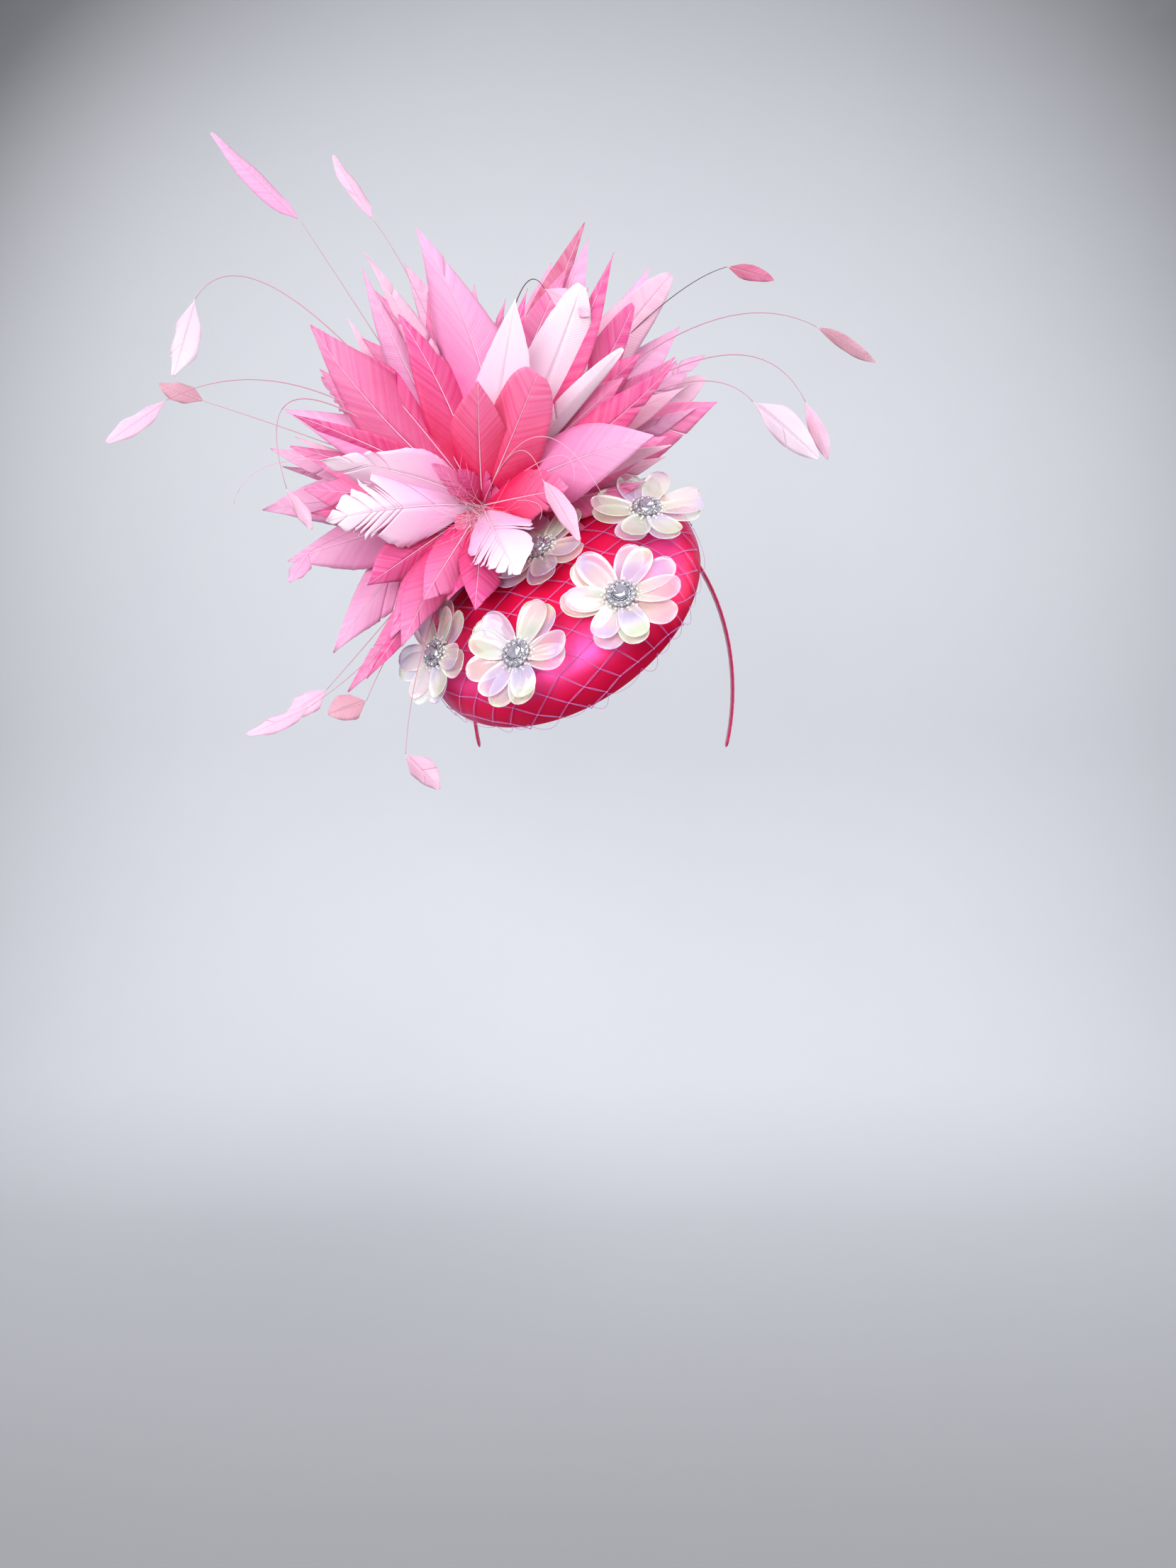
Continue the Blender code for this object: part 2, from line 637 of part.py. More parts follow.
def flower_matrix(crown, row):
    point, normal = crown_point(row.reach, row.clock, trim_stand_off())
    tilt = Vector((0.0, 0.0, 1.0)).angle(normal)
    axis = Vector((0.0, 0.0, 1.0)).cross(normal).normalized()
    facing = Matrix.Rotation(tilt - math.radians(row.nod), 4, axis)
    turned = Matrix.Rotation(math.radians(row.turn), 4, "Z")
    return crown @ Matrix.Translation(point) @ facing @ turned


def main():
    clear_scene()
    parts = bpy.data.collections.new("fascinator_headband")
    bpy.context.scene.collection.children.link(parts)
    satin = material("satin", (0.60, 0.01, 0.09), 0.35)
    ribbon = material("ribbon", (0.55, 0.02, 0.12), 0.45)
    netting = material("netting", (0.50, 0.16, 0.50), 0.6)
    feather = material("feather", (0.86, 0.25, 0.42), 0.7)
    sequin = material("sequin", (0.86, 0.84, 0.88), 0.15)
    silver = material("silver", (0.70, 0.70, 0.72), 0.2, 1.0)
    crystal_finish = material("crystal", (0.80, 0.78, 0.88), 0.05)

    crown = crown_matrix()
    upright = Matrix.Rotation(math.radians(90.0), 4, "X")
    place(make_headband(), parts, ribbon, upright)
    for number, name in enumerate(CROWN_COURSES):
        place(make_crown_course(number, name), parts, satin, crown)
    place(make_veil(), parts, netting, crown)
    place(make_plume(crown), parts, feather)
    for number, row in enumerate(FLOWERS, start=1):
        seat = flower_matrix(crown, row)
        place(make_petals(f"petals_{number}"), parts, sequin, seat)
        jewel_height = foot_height() + GAP
        jewel_seat = seat @ Matrix.Translation((0.0, 0.0, jewel_height))
        place(make_jewel(f"jewel_{number}"), parts, silver, jewel_seat)
        stone = cut_stone(
            f"crystal_{number}",
            CRYSTAL_TABLE,
            CRYSTAL_RADIUS,
            CRYSTAL_CROWN,
            CRYSTAL_GIRDLE,
            CRYSTAL_FOOT,
            CRYSTAL_POCKET,
            0.5,
        )
        crystal_height = JEWEL_THICKNESS + GAP + CRYSTAL_POCKET
        place(stone, parts, crystal_finish, jewel_seat @ Matrix.Translation((0.0, 0.0, crystal_height)))


main()
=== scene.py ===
# %% [markdown]
# # A feather fascinator on a headband
# The real hat is a small domed crown covered in raspberry satin, wrapped in knotted net, and trimmed
# with clear sequin flowers, crystals and a burst of dyed feathers. The frame that loads here already
# holds every piece at its real size, so this lesson only makes surfaces and finishes, and takes each
# place from the frame.

# %% Load the frame
import math

import bpy
import numpy as np
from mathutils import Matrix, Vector


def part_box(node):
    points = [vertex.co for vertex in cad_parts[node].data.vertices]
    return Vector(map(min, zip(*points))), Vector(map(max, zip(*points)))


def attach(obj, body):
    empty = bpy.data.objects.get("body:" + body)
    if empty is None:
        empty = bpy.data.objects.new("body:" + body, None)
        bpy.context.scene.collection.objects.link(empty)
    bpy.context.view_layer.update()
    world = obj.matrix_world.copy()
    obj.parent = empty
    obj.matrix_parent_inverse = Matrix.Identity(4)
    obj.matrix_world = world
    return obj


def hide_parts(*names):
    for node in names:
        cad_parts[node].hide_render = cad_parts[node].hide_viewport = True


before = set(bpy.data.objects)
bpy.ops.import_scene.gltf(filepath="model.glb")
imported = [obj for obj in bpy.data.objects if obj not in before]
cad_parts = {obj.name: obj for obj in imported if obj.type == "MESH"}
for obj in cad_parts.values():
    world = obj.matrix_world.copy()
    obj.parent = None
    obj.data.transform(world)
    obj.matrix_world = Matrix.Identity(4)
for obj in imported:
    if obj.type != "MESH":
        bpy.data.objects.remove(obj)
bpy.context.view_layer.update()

# %% [markdown]
# ## The camera first
# The photograph was taken with a wide lens, from about 0.6 m away and a little below the hat, so near
# feathers look larger than far ones. A 24 mm lens on a 36 mm tall sensor gives the same picture. The
# lens is measured on the long side, which is the height here.

# %% Camera
CAMERA_PLACE = (-0.0086, -0.605, -0.143)
CAMERA_DIP = 1.5
camera_data = bpy.data.cameras.new("camera")
camera_data.lens = 24.0
camera_data.sensor_width = 36.0
camera_data.sensor_fit = "AUTO"
camera_data.clip_start = 0.02
camera = bpy.data.objects.new("camera", camera_data)
camera.location = CAMERA_PLACE
camera.rotation_euler = (math.radians(90.0 - CAMERA_DIP), 0.0, 0.0)
bpy.context.scene.collection.objects.link(camera)
bpy.context.scene.camera = camera
print("camera at", CAMERA_PLACE)

# %% [markdown]
# ## Arrays into meshes
# Every new surface below is worked out with numpy as whole arrays. One small helper puts such arrays
# into a mesh: points, four-sided faces, a UV pair for each point and any number of values or colours
# for each point. A second helper joins many small pieces into one, by shifting each piece's indices.
# The last one joins pieces, gives a sheet its thickness and settles the result on the frame.


# %% Mesh helpers
def grid_faces(rows, columns, closed=False):
    """Faces of a grid of points stored row by row; closed joins the last column to the first."""
    row = np.arange(rows - 1)[:, None] * columns
    column = np.arange(columns if closed else columns - 1)[None, :]
    after = (column + 1) % columns
    corners = np.stack([row + column, row + after, row + columns + after, row + columns + column], axis=-1)
    return corners.reshape(-1, 4)


def round_axis(radius, height, clock):
    """Points at a radius and a height, turned by the clock about the third axis."""
    return np.stack(np.broadcast_arrays(radius * np.cos(clock), radius * np.sin(clock), height), axis=-1)


def joined_pieces(pieces):
    """Many (points, faces, values) pieces as one, where values is a dictionary of arrays per point."""
    points, faces, values, start = [], [], {}, 0
    for piece_points, piece_faces, piece_values in pieces:
        points.append(piece_points.reshape(-1, 3))
        faces.append(piece_faces + start)
        start += len(points[-1])
        for name, array in piece_values.items():
            values.setdefault(name, []).append(array)
    return np.concatenate(points), np.concatenate(faces), {k: np.concatenate(v) for k, v in values.items()}


def mesh_piece(name, points, faces, values=None, finish=None, smooth=True):
    """An object at the origin from arrays; a value named uv becomes the UV map, others point attributes."""
    mesh = bpy.data.meshes.new(name)
    mesh.from_pydata(points.reshape(-1, 3).tolist(), [], faces.tolist())
    loops = np.empty(len(mesh.loops), np.int32)
    mesh.loops.foreach_get("vertex_index", loops)
    for key, array in (values or {}).items():
        if key == "uv":
            layer = mesh.uv_layers.new(name="UVMap")
            layer.data.foreach_set("uv", array[loops].astype(np.float32).ravel())
        elif array.ndim == 2:
            colours = np.concatenate([array, np.ones((len(array), 1))], axis=1)
            layer = mesh.attributes.new(key, "FLOAT_COLOR", "POINT")
            layer.data.foreach_set("color", colours.astype(np.float32).ravel())
        else:
            layer = mesh.attributes.new(key, "FLOAT", "POINT")
            layer.data.foreach_set("value", array.astype(np.float32))
    mesh.polygons.foreach_set("use_smooth", np.full(len(mesh.polygons), smooth))
    mesh.update()
    piece = bpy.data.objects.new(name, mesh)
    bpy.context.scene.collection.objects.link(piece)
    if finish is not None:
        mesh.materials.append(finish)
    return piece


def settled(piece, slot, *nodes):
    """Rides a piece on the one body and hides the solids that it stands for; its slot is not used."""
    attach(piece, "root")
    if nodes:
        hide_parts(*nodes)
    print(piece.name, "has", len(piece.data.polygons), "faces")


def settled_pieces(name, pieces, finish, slot, *nodes, thickness=0.0, smooth=True):
    """Joins pieces into one object and settles it; a thickness makes an open sheet solid, half each way."""
    piece = mesh_piece(name, *joined_pieces(pieces), finish, smooth)
    if thickness:
        shell = piece.modifiers.new("thickness", "SOLIDIFY")
        shell.thickness = thickness
        shell.offset = 0.0
        shell.use_even_offset = False
    settled(piece, slot, *nodes)


# %% [markdown]
# ## Where things sit
# The crown is a turned dome that tips to one brow, and each jewel is a small disc. Both have one
# direction in which they are thinnest, which is their axis, so the axis is the eigenvector of least
# spread of their points. Sizes come from the same points, measured along and across that axis.


# %% Read places from the frame
def node_points(name):
    """The points of one of the frame's solids, one row each."""
    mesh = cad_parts[name].data
    points = np.empty(len(mesh.vertices) * 3, np.float32)
    mesh.vertices.foreach_get("co", points)
    return points.reshape(-1, 3).astype(float)


def disc_frame(*names):
    """A dome's or disc's across, up and outward directions, its foot's centre, radius and height."""
    points = np.concatenate([node_points(name) for name in names])
    _, directions = np.linalg.eigh(np.cov(points.T))
    outward = directions[:, 0] * (1.0 if directions[1, 0] < 0 else -1.0)
    across = np.cross((0.0, 0.0, 1.0), outward)
    across /= np.linalg.norm(across)
    turned = np.stack([across, np.cross(outward, across), outward])
    local = points @ turned.T
    low, high = local.min(axis=0), local.max(axis=0)
    middle = (low + high) / 2
    middle[2] = low[2]
    radius = np.hypot(*(local - middle)[:, :2].T).max()
    return turned, middle @ turned, radius, high[2] - low[2]


CROWN_NODES = ("crown_tip", "crown_shoulder", "crown_rim")
CROWN_AXES, CROWN_CENTRE, CROWN_RADIUS, CROWN_RISE = disc_frame(*CROWN_NODES)
CROWN_SQUARENESS = 2.6
CROWN_WALL = 0.0025
print("crown radius", round(CROWN_RADIUS, 4), "rise", round(CROWN_RISE, 4))


def crown_world(local):
    """Points in the crown's own axes, moved to where the crown is worn."""
    return local @ CROWN_AXES + CROWN_CENTRE


def crown_profile(count, stand_off=0.0):
    """Radius and height of the squared ellipse from top to rim, and the distance walked down it."""
    angles = np.radians(np.linspace(90.0, 0.0, count))
    power = 2.0 / CROWN_SQUARENESS
    radius = (CROWN_RADIUS + stand_off) * np.abs(np.cos(angles)) ** power
    height = (CROWN_RISE + stand_off) * np.abs(np.sin(angles)) ** power
    walked = np.concatenate([[0.0], np.cumsum(np.hypot(np.diff(radius), np.diff(height)))])
    return radius, height, walked


def on_crown(flat, stand_off):
    """Bends flat points over the crown by their distance from its top; beyond the rim they hang down."""
    radius, height, walked = crown_profile(400, stand_off)
    distance = np.hypot(flat[:, 0], flat[:, 1])
    clock = np.arctan2(flat[:, 1], flat[:, 0])
    out = np.interp(distance, walked, radius)
    up = np.interp(distance, walked, height) - np.maximum(distance - walked[-1], 0.0)
    return crown_world(round_axis(out, up, clock))


# %% [markdown]
# ## Finishes from shared groups
# Three effects are used by several materials, so each is a node group that is built once: fine parallel
# threads that follow a UV map, soft mottling, and a thin-film tint that drifts over clear petals. A
# group puts out masks, colours and normals only. The shader stays in each material, where an exporter
# can read it.


# %% Group helpers
def new_group(name, inputs, outputs):
    """An empty node group with named sockets, given as (name, kind, default) and (name, kind)."""
    group = bpy.data.node_groups.new(name, "ShaderNodeTree")
    for label, kind, value in inputs:
        socket = group.interface.new_socket(name=label, in_out="INPUT", socket_type=kind)
        if value is not None:
            socket.default_value = value
    for label, kind in outputs:
        group.interface.new_socket(name=label, in_out="OUTPUT", socket_type=kind)
    return group, group.nodes.new("NodeGroupInput"), group.nodes.new("NodeGroupOutput")


def fed(tree, made, **inputs):
    """Links each input that is given a socket, and sets each that is given a plain value.

    An input is named with underscores for spaces, or by i and its number.
    """
    for key, value in inputs.items():
        numbered = key[0] == "i" and key[1:].isdigit()
        socket = made.inputs[int(key[1:]) if numbered else key.replace("_", " ")]
        if isinstance(value, bpy.types.NodeSocket):
            tree.links.new(value, socket)
        else:
            socket.default_value = value
    return made


def node(tree, kind, settings=None, **inputs):
    """Adds a node with its settings, and feeds its inputs."""
    made = tree.nodes.new(kind)
    for key, value in (settings or {}).items():
        setattr(made, key, value)
    return fed(tree, made, **inputs)


def maths(tree, operation, first, second=0.0, third=0.0):
    """One sum on values or sockets; third is what MULTIPLY_ADD adds."""
    return node(tree, "ShaderNodeMath", {"operation": operation}, i0=first, i1=second, i2=third).outputs[0]


def mixed(tree, factor, first, second, blend="MIX"):
    """A colour mix; first and second are colours or colour sockets."""
    settings = {"data_type": "RGBA", "blend_type": blend}
    return node(tree, "ShaderNodeMix", settings, i0=factor, i6=first, i7=second).outputs[2]


def placed_group(tree, group, **inputs):
    """A shared group in a material, with its inputs fed."""
    return node(tree, "ShaderNodeGroup", {"node_tree": group}, **inputs)


def uv_of(tree):
    """The mesh's UV map as a socket."""
    return node(tree, "ShaderNodeUVMap", {"uv_map": "UVMap"}).outputs["UV"]


def attribute(tree, name, output="Fac"):
    """What the mesh carries at each point under a name: a number, or a colour by the output Color."""
    return node(tree, "ShaderNodeAttribute", {"attribute_name": name}).outputs[output]


FLOAT, COLOUR, VECTOR = "NodeSocketFloat", "NodeSocketColor", "NodeSocketVector"


# %% Threads group
def threads_group():
    """Fine parallel lines across one UV direction, broken up by stretched noise, and their bump."""
    inputs = [("UV", VECTOR, None), ("Lines", FLOAT, 100.0), ("Bump", FLOAT, 0.3)]
    outputs = [("Lines", FLOAT), ("Streaks", FLOAT), ("Normal", VECTOR)]
    group, given, out = new_group("threads", inputs, outputs)
    split = node(group, "ShaderNodeSeparateXYZ", Vector=given.outputs["UV"])
    phase = maths(group, "MULTIPLY", split.outputs["Y"], given.outputs["Lines"])
    wave = maths(group, "SINE", maths(group, "MULTIPLY", phase, math.tau))
    raised = maths(group, "MULTIPLY_ADD", wave, 0.5, 0.5)
    slow = maths(group, "MULTIPLY", split.outputs["X"], 0.6)
    where = node(group, "ShaderNodeCombineXYZ", X=slow, Y=phase).outputs[0]
    noise = node(group, "ShaderNodeTexNoise", Vector=where, Scale=0.35, Detail=3.0, Roughness=0.6)
    streaks = noise.outputs["Fac"]
    height = maths(group, "ADD", raised, maths(group, "MULTIPLY", streaks, 0.8))
    bump = node(group, "ShaderNodeBump", Strength=given.outputs["Bump"], Distance=0.0004, Height=height)
    fed(group, out, Lines=raised, Streaks=streaks, Normal=bump.outputs[0])
    return group


THREADS = threads_group()


# %% Mottle and film groups
def mottle_group():
    """Soft two-scale variation on object coordinates, from 0 to 1."""
    group, given, out = new_group("mottle", [("Scale", FLOAT, 60.0)], [("Mask", FLOAT)])
    where = node(group, "ShaderNodeTexCoord").outputs["Object"]
    scale = given.outputs["Scale"]
    wide = node(group, "ShaderNodeTexNoise", Vector=where, Scale=scale, Detail=2.0)
    finer = maths(group, "MULTIPLY", scale, 9.0)
    fine = node(group, "ShaderNodeTexNoise", Vector=where, Scale=finer, Detail=4.0)
    total = maths(group, "ADD", wide.outputs["Fac"], maths(group, "MULTIPLY", fine.outputs["Fac"], 0.4))
    fed(group, out, Mask=maths(group, "MULTIPLY", total, 0.72))
    return group


def film_group():
    """Pale lilac, cream, mint and rose that drift across a clear petal, as oil on water does."""
    inputs, outputs = [("UV", VECTOR, None), ("Shift", FLOAT, 0.0)], [("Tint", COLOUR), ("Cover", FLOAT)]
    group, given, out = new_group("film", inputs, outputs)
    where = node(group, "ShaderNodeTexCoord").outputs["Object"]
    drift = node(group, "ShaderNodeTexNoise", Vector=where, Scale=38.0, Detail=1.0).outputs["Fac"]
    split = node(group, "ShaderNodeSeparateXYZ", Vector=given.outputs["UV"])
    place = maths(group, "ADD", maths(group, "MULTIPLY", split.outputs["Y"], 0.55), given.outputs["Shift"])
    band = maths(group, "FRACT", maths(group, "ADD", place, maths(group, "MULTIPLY", drift, 1.1)))
    ramp = node(group, "ShaderNodeValToRGB", Fac=band)
    stops = ramp.color_ramp.elements
    stops[0].position, stops[0].color = 0.0, (0.96, 0.93, 0.86, 1.0)
    stops[1].position, stops[1].color = 1.0, (0.95, 0.92, 0.86, 1.0)
    for position, colour in (
        (0.20, (0.96, 0.76, 0.82, 1.0)),
        (0.40, (0.74, 0.66, 0.95, 1.0)),
        (0.58, (0.95, 0.96, 0.97, 1.0)),
        (0.78, (0.80, 0.92, 0.70, 1.0)),
    ):
        stops.new(position).color = colour
    rim = maths(group, "POWER", maths(group, "ABSOLUTE", split.outputs["X"]), 9.0)
    rim = maths(group, "MAXIMUM", rim, maths(group, "POWER", split.outputs["Y"], 26.0))
    cover = maths(group, "MULTIPLY_ADD", rim, 0.7, maths(group, "MULTIPLY_ADD", drift, 0.45, 0.15))
    fed(group, out, Tint=ramp.outputs["Color"], Cover=maths(group, "MINIMUM", cover, 1.0))
    return group


MOTTLE = mottle_group()
FILM = film_group()
print("groups:", [group.name for group in (THREADS, MOTTLE, FILM)])


# %% Material helpers
def new_finish(name, **constants):
    """A material whose plain constants are set on the Principled shader's own sockets."""
    made = bpy.data.materials.new(name)
    made.use_nodes = True
    tree = made.node_tree
    return made, tree, fed(tree, tree.nodes["Principled BSDF"], **constants)


def mottled_finish(name, scale, first, second, rough=None, **constants):
    """A finish that wanders from one colour to another; rough ties its roughness to that as well."""
    made, tree, shader = new_finish(name, **constants)
    mask = placed_group(tree, MOTTLE, Scale=scale).outputs["Mask"]
    fed(tree, shader, Base_Color=mixed(tree, mask, first, second))
    if rough is not None:
        fed(tree, shader, Roughness=maths(tree, "MULTIPLY", mask, rough))
    return made


# %% [markdown]
# ## The satin crown
# The real crown is a stiffened dome with satin pulled over it and turned in at the rim. A turned
# profile gives it exactly: down the outside, round a small soft edge, and up the inside to the top.
# Satin shines most across its threads, so its finish has an anisotropic highlight with a lilac tint,
# over a raspberry base, and a very fine thread bump from the UV map.


# %% Satin finish
RASPBERRY, RASPBERRY_LIGHT = (0.93, 0.001, 0.040, 1.0), (1.0, 0.003, 0.070, 1.0)
# The shoulder's pink is a painted highlight band, and the deep red at the rim is painted shade
WEAVE_PINK, SHOULDER_SHEEN_PINK = (0.95, 0.02, 0.20, 1.0), (0.93, 0.065, 0.29, 1.0)
RIM_SHADE_RED = (0.55, 0.001, 0.030, 1.0)


def satin_finish():
    """A deep red ground with a painted pinker highlight band on the shoulder and painted shade at the rim;
    woven streaks and fine threads break up a wide pink gloss.
    """
    made, tree, shader = new_finish(
        "raspberry_satin",
        Roughness=0.30,
        Metallic=0.38,
        Anisotropic=0.4,
        Specular_IOR_Level=0.4,
        Specular_Tint=(0.70, 0.45, 1.0, 1.0),
        Sheen_Weight=0.04,
        Sheen_Roughness=0.3,
        Sheen_Tint=(0.95, 0.25, 0.65, 1.0),
    )
    threads = placed_group(tree, THREADS, UV=uv_of(tree), Lines=420.0, Bump=0.10)
    mottle = placed_group(tree, MOTTLE, Scale=35.0).outputs["Mask"]
    base = mixed(tree, mottle, RASPBERRY, RASPBERRY_LIGHT)
    base = mixed(tree, maths(tree, "MULTIPLY", threads.outputs["Streaks"], 0.20), base, WEAVE_PINK)
    # Painted highlight: a pinker band along the shoulder, where the low lamp's sheen falls
    base = mixed(tree, attribute(tree, "shoulder"), base, SHOULDER_SHEEN_PINK)
    # Painted shade: a deeper red toward the rim, where the dome turns down
    base = mixed(tree, maths(tree, "MULTIPLY", attribute(tree, "under"), 0.75), base, RIM_SHADE_RED)
    fed(tree, shader, Base_Color=base, Normal=threads.outputs["Normal"])
    return made


SATIN = satin_finish()

# %% Crown surface
CROWN_TURNS = 240
LIP_DROP = 0.0006
PUCKERS, PUCKER_DEPTH, PUCKER_FROM = 31, 0.00022, 0.6
# Where the painted highlight band sits on the shoulder and how wide it is, and how far up the painted shade
# at the rim reaches
SHOULDER_SHEEN_AT, SHOULDER_SHEEN_SPREAD, RIM_SHADE_SPREAD = 0.64, 0.20, 0.30


def crown_surface(turns):
    """A profile turned about the crown's axis: outer squared ellipse, rounded rim, inner squared ellipse.

    Shoulder and under are bell curves of the height's share: one stands on the shoulder and paints a pinker
    highlight band there, and one stands on the rim and paints shade where the dome turns down.
    """
    outer_r, outer_z, _ = crown_profile(70)
    inner_scale = (CROWN_RADIUS - CROWN_WALL) / CROWN_RADIUS
    inner_r = (outer_r * inner_scale)[::-1]
    inner_z = (outer_z * (CROWN_RISE - CROWN_WALL) / CROWN_RISE)[::-1]
    lip = np.linspace(0.0, math.pi, 9)[1:-1]
    lip_r = CROWN_RADIUS - CROWN_WALL / 2 + CROWN_WALL / 2 * np.cos(lip)
    radius = np.concatenate([outer_r, lip_r, inner_r])
    height = np.concatenate([outer_z, -LIP_DROP * np.sin(lip), inner_z])
    walked = np.concatenate([[0.0], np.cumsum(np.hypot(np.diff(radius), np.diff(height)))])
    clock = np.linspace(0.0, math.tau, turns, endpoint=False)
    # Fabric pulled over the dome puckers a little where it turns down to the rim
    turn_down = CROWN_RISE * PUCKER_FROM
    side = np.clip((turn_down - height) / turn_down, 0.0, 1.0)
    wave = clock[None, :] * PUCKERS + 2.0 * np.sin(3 * clock[None, :])
    pucker = PUCKER_DEPTH * np.sin(wave) * side[:, None]
    pucker[height <= 0.0] = 0.0
    spread = radius[:, None] + np.where(np.arange(len(radius))[:, None] < len(outer_r), pucker, 0.0)
    points = round_axis(spread, height[:, None], clock)
    around, down = clock[None, :] / math.tau * 4.0, (walked / walked[-1])[:, None]
    rise = np.repeat(height / CROWN_RISE, turns)
    fabric = {
        "uv": np.stack(np.broadcast_arrays(around, down), axis=-1).reshape(-1, 2),
        # Masks for a painted highlight band on the shoulder and painted shade at the rim
        "shoulder": np.exp(-(((rise - SHOULDER_SHEEN_AT) / SHOULDER_SHEEN_SPREAD) ** 2)),
        "under": np.exp(-((rise / RIM_SHADE_SPREAD) ** 2)),
    }
    faces = grid_faces(len(radius), turns, closed=True)[:, ::-1]
    return crown_world(points.reshape(-1, 3)), faces, fabric


settled_pieces("satin_crown", [crown_surface(CROWN_TURNS)], SATIN, "satin", *CROWN_NODES)

# %% [markdown]
# ## The net
# Milliner's net is a lattice of twisted double threads with a knot at each crossing. It is laid over
# the crown in one piece, so a flat lattice is bent over the dome by each point's distance from the top.
# Its edge is left in small loops that peep below the rim. Each side of a diamond is two thin tubes side
# by side, which is cheap: seven points along and four round.


# %% Net finish and sizes
NET = mottled_finish(
    "lilac_net", 120.0, (0.46, 0.07, 0.42, 1.0), (0.72, 0.24, 0.68, 1.0), Roughness=0.55, Sheen_Weight=0.4
)
NET_LONG = 0.0205
NET_SHORT = 0.0140
NET_THREAD = 0.00012
NET_TURN = math.radians(20.0)
NET_ABOVE = 0.0010
NET_WANDER = 0.0007
THREADS_APART = 0.00032
KNOT_HALF = 0.0006
KNOT_RADII = np.array([0.00022, 0.00042, 0.00050, 0.00042, 0.00022])
NET_PAST_RIM = 0.0015
# How near the rim a knot carries a loop, how far in its feet are, how far it hangs and how that varies
LOOP_KNOTS, LOOP_FOOT, LOOP_HANG, LOOP_VARIES = 0.007, 0.0022, 0.0048, 0.0018


# %% Net lattice
def tube_sweep(paths, radius, sides):
    """Rings of corners along many paths at once; paths is (tubes, points, 3), one radius for each point."""
    ahead = np.gradient(paths, axis=1)
    ahead /= np.linalg.norm(ahead, axis=2, keepdims=True) + 1e-12
    reference = np.where(np.abs(ahead[..., 2:3]) < 0.9, (0.0, 0.0, 1.0), (1.0, 0.0, 0.0))
    side = np.cross(ahead, reference)
    side /= np.linalg.norm(side, axis=2, keepdims=True)
    over = np.cross(side, ahead)
    turn = np.linspace(0.0, math.tau, sides, endpoint=False)
    ring = side[:, :, None] * np.cos(turn)[:, None] + over[:, :, None] * np.sin(turn)[:, None]
    return paths[:, :, None] + ring * radius[..., None, None]


def tubes(paths, radius, sides=4, **values):
    """Closed tubes as one (points, faces, values) piece; each end is drawn in to its own centre."""
    paths = np.concatenate([paths[:, :1], paths, paths[:, -1:]], axis=1)
    size = np.broadcast_to(np.asarray(radius, float), (paths.shape[0], paths.shape[1] - 2))
    tiny = np.full((paths.shape[0], 1), 1e-6)
    size = np.concatenate([tiny, size, tiny], axis=1)
    first, last = paths[:, 2:3] - paths[:, 1:2], paths[:, -2:-1] - paths[:, -3:-2]
    paths[:, :1] -= 1e-3 * first
    paths[:, -1:] += 1e-3 * last
    rings = tube_sweep(paths, size, sides)
    count, length = rings.shape[:2]
    offsets = (np.arange(count) * length * sides)[:, None, None]
    faces = (grid_faces(length, sides, closed=True)[None] + offsets).reshape(-1, 4)
    spread = {key: np.repeat(array, length * sides, axis=0) for key, array in values.items()}
    return rings.reshape(-1, 3), faces, spread


def net_nodes():
    """Knots of the flat lattice on whole-number places, and the pairs of places that a strand joins."""
    _, _, walked = crown_profile(400, NET_ABOVE)
    reach = walked[-1]
    count = math.ceil(2.4 * reach / NET_SHORT)
    place = np.arange(-count, count + 1)
    first, second = np.meshgrid(place, place, indexing="ij")
    long = (first + second) * NET_LONG / 2
    short = (first - second) * NET_SHORT / 2
    wander = NET_WANDER * np.stack([np.sin(first * 2.3 + second * 1.7), np.sin(first * 1.1 - second * 3.1)])
    flat = np.stack([
        long * math.cos(NET_TURN) - short * math.sin(NET_TURN) + wander[0],
        long * math.sin(NET_TURN) + short * math.cos(NET_TURN) + wander[1],
    ], axis=-1)
    inside = np.hypot(flat[..., 0], flat[..., 1]) < reach + NET_PAST_RIM
    pairs = []
    for step in ((1, 0), (0, 1)):
        far = np.roll(flat, (-step[0], -step[1]), axis=(0, 1))
        both = inside & np.roll(inside, (-step[0], -step[1]), axis=(0, 1))
        pairs.append(np.stack([flat[both], far[both]], axis=1))
    return flat[inside], np.concatenate(pairs), reach


knots, strands, reach = net_nodes()
share = np.linspace(0.0, 1.0, 7)[None, :, None]
flat_paths = strands[:, :1] * (1 - share) + strands[:, 1:] * share
across = strands[:, 1] - strands[:, 0]
across = np.stack([-across[:, 1], across[:, 0]], axis=1) / np.linalg.norm(across, axis=1, keepdims=True)
apart = THREADS_APART * np.sin(math.pi * share) * np.array([-1.0, 1.0])[:, None, None, None]
pieces = []
for offset in apart:
    paths = flat_paths + offset * across[:, None, :]
    bent = on_crown(paths.reshape(-1, 2), NET_ABOVE).reshape(*paths.shape[:2], 3)
    pieces.append(tubes(bent, NET_THREAD))
knot_places = on_crown(knots, NET_ABOVE)
knot_way = on_crown(knots + np.array([KNOT_HALF, 0.0]), NET_ABOVE) - knot_places
knot_paths = knot_places[:, None, :] + knot_way[:, None, :] * np.linspace(-1.0, 1.0, 5)[None, :, None]
pieces.append(tubes(knot_paths, KNOT_RADII, 5))
print("net:", len(strands), "strands and", len(knots), "knots")

